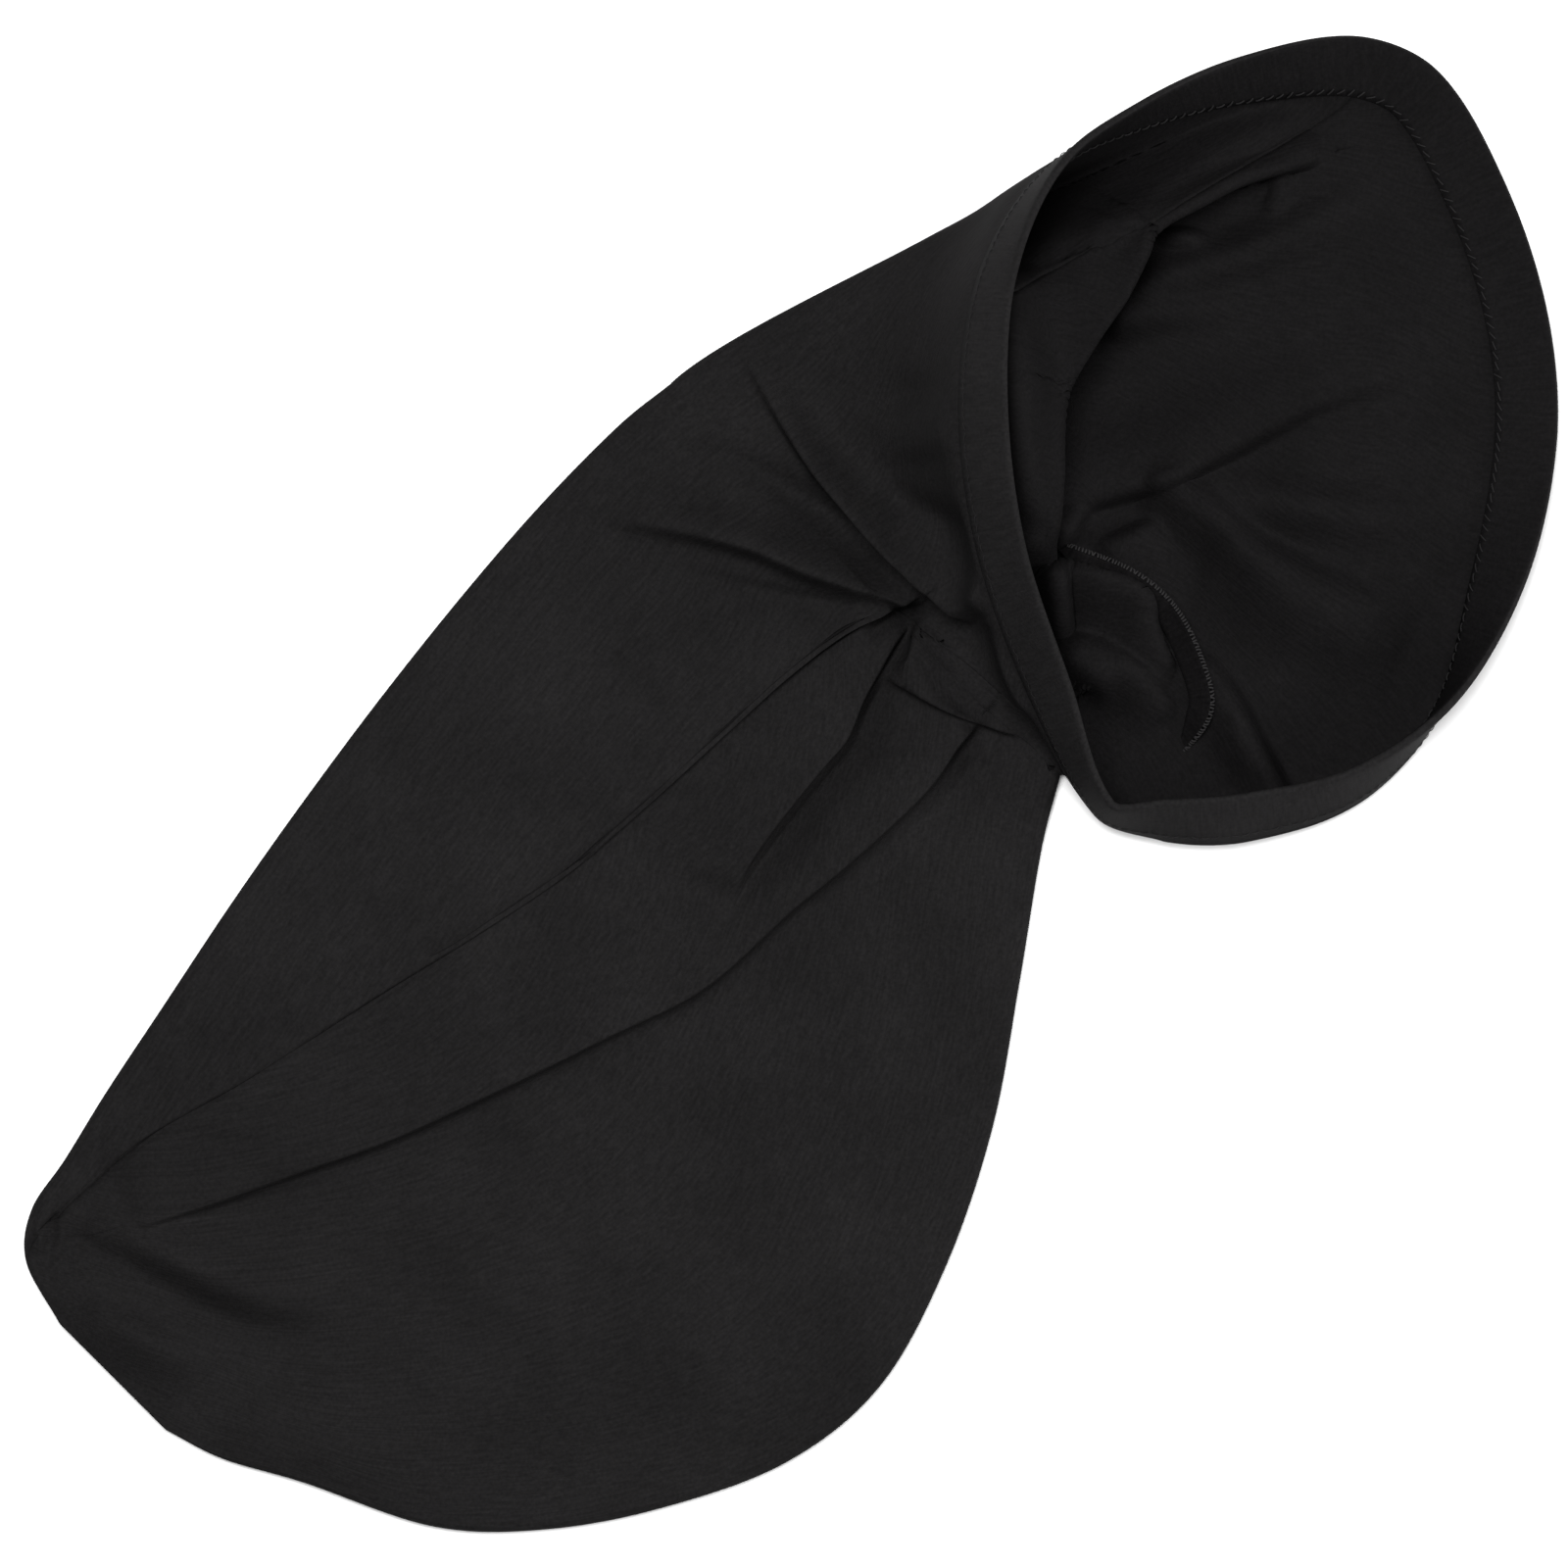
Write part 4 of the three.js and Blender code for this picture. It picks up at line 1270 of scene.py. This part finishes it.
class BONNET_OT_stage(bpy.types.Operator):
    """Set the floor, the light and the camera"""

    bl_idname = "bonnet.stage"
    bl_label = "Stage"

    def execute(self, context):
        stage = context.scene.bonnet_stage
        floor = bpy.data.meshes.new("floor")
        corners = [(x * FLOOR_REACH, y * FLOOR_REACH, 0.0) for x, y in
                   ((-1, -1), (1, -1), (1, 1), (-1, 1))]
        floor.from_pydata(corners, [], [(0, 1, 2, 3)])
        floor.materials.append(plain_material("pale_floor", stage.floor_colour, 0.9))
        plane = bpy.data.objects.new("floor", floor)
        context.scene.collection.objects.link(plane)

        world = bpy.data.worlds.new("soft_sky")
        world.use_nodes = True
        sky = world.node_tree.nodes["Background"]
        sky.inputs["Color"].default_value = (1.0, 1.0, 1.0, 1.0)
        sky.inputs["Strength"].default_value = SKY_STRENGTH
        context.scene.world = world

        for name, place, size, watts in LIGHTS:
            lamp = bpy.data.lights.new(name, "AREA")
            lamp.shape = "SQUARE"
            lamp.size = size
            lamp.energy = watts
            holder = bpy.data.objects.new(name, lamp)
            holder.location = place
            holder.rotation_euler = aim(place, (0.0, 0.0, 0.0))
            context.scene.collection.objects.link(holder)

        context.scene.view_settings.view_transform = "Standard"

        camera = bpy.data.cameras.new("camera")
        camera.sensor_width = 36.0
        camera.lens = camera.sensor_width * stage.camera_height / stage.picture_width
        camera.clip_end = 20.0
        holder = bpy.data.objects.new("camera", camera)
        holder.location = (*CAMERA_PLACE, stage.camera_height)
        holder.rotation_euler = (0.0, 0.0, math.radians(CAMERA_TURN))
        context.scene.collection.objects.link(holder)
        context.scene.camera = holder
        return {"FINISHED"}


def aim(place, target):
    """Turn that points a light from its place at a target."""
    return (Vector(target) - Vector(place)).to_track_quat("-Z", "Y").to_euler()


class BONNET_PT_panel(bpy.types.Panel):
    """Sizes, finishes and steps of the bonnet"""

    bl_label = "Sleep bonnet"
    bl_idname = "BONNET_PT_panel"
    bl_space_type = "VIEW_3D"
    bl_region_type = "UI"
    bl_category = "Bonnet"

    def draw(self, context):
        for group in ("bonnet_sizes", "bonnet_finish", "bonnet_stage"):
            settings = getattr(context.scene, group)
            box = self.layout.box()
            for name in settings.__annotations__:
                box.prop(settings, name)
        for step in STEPS:
            self.layout.operator(step.bl_idname)


STEPS = (
    BONNET_OT_knit_panels,
    BONNET_OT_hem_band,
    BONNET_OT_hem_stitches,
    BONNET_OT_seam_allowance,
    BONNET_OT_stage,
)
CLASSES = (BonnetSizes, KnitFinish, StageSettings, *STEPS, BONNET_PT_panel)


def register():
    for cls in CLASSES:
        bpy.utils.register_class(cls)
    bpy.types.Scene.bonnet_sizes = PointerProperty(type=BonnetSizes)
    bpy.types.Scene.bonnet_finish = PointerProperty(type=KnitFinish)
    bpy.types.Scene.bonnet_stage = PointerProperty(type=StageSettings)


def unregister():
    del bpy.types.Scene.bonnet_stage
    del bpy.types.Scene.bonnet_finish
    del bpy.types.Scene.bonnet_sizes
    for cls in reversed(CLASSES):
        bpy.utils.unregister_class(cls)


def main():
    register()
    bpy.ops.bonnet.knit_panels()
    bpy.ops.bonnet.hem_band()
    bpy.ops.bonnet.hem_stitches()
    bpy.ops.bonnet.seam_allowance()
    bpy.ops.bonnet.stage()


if __name__ == "__main__":
    main()
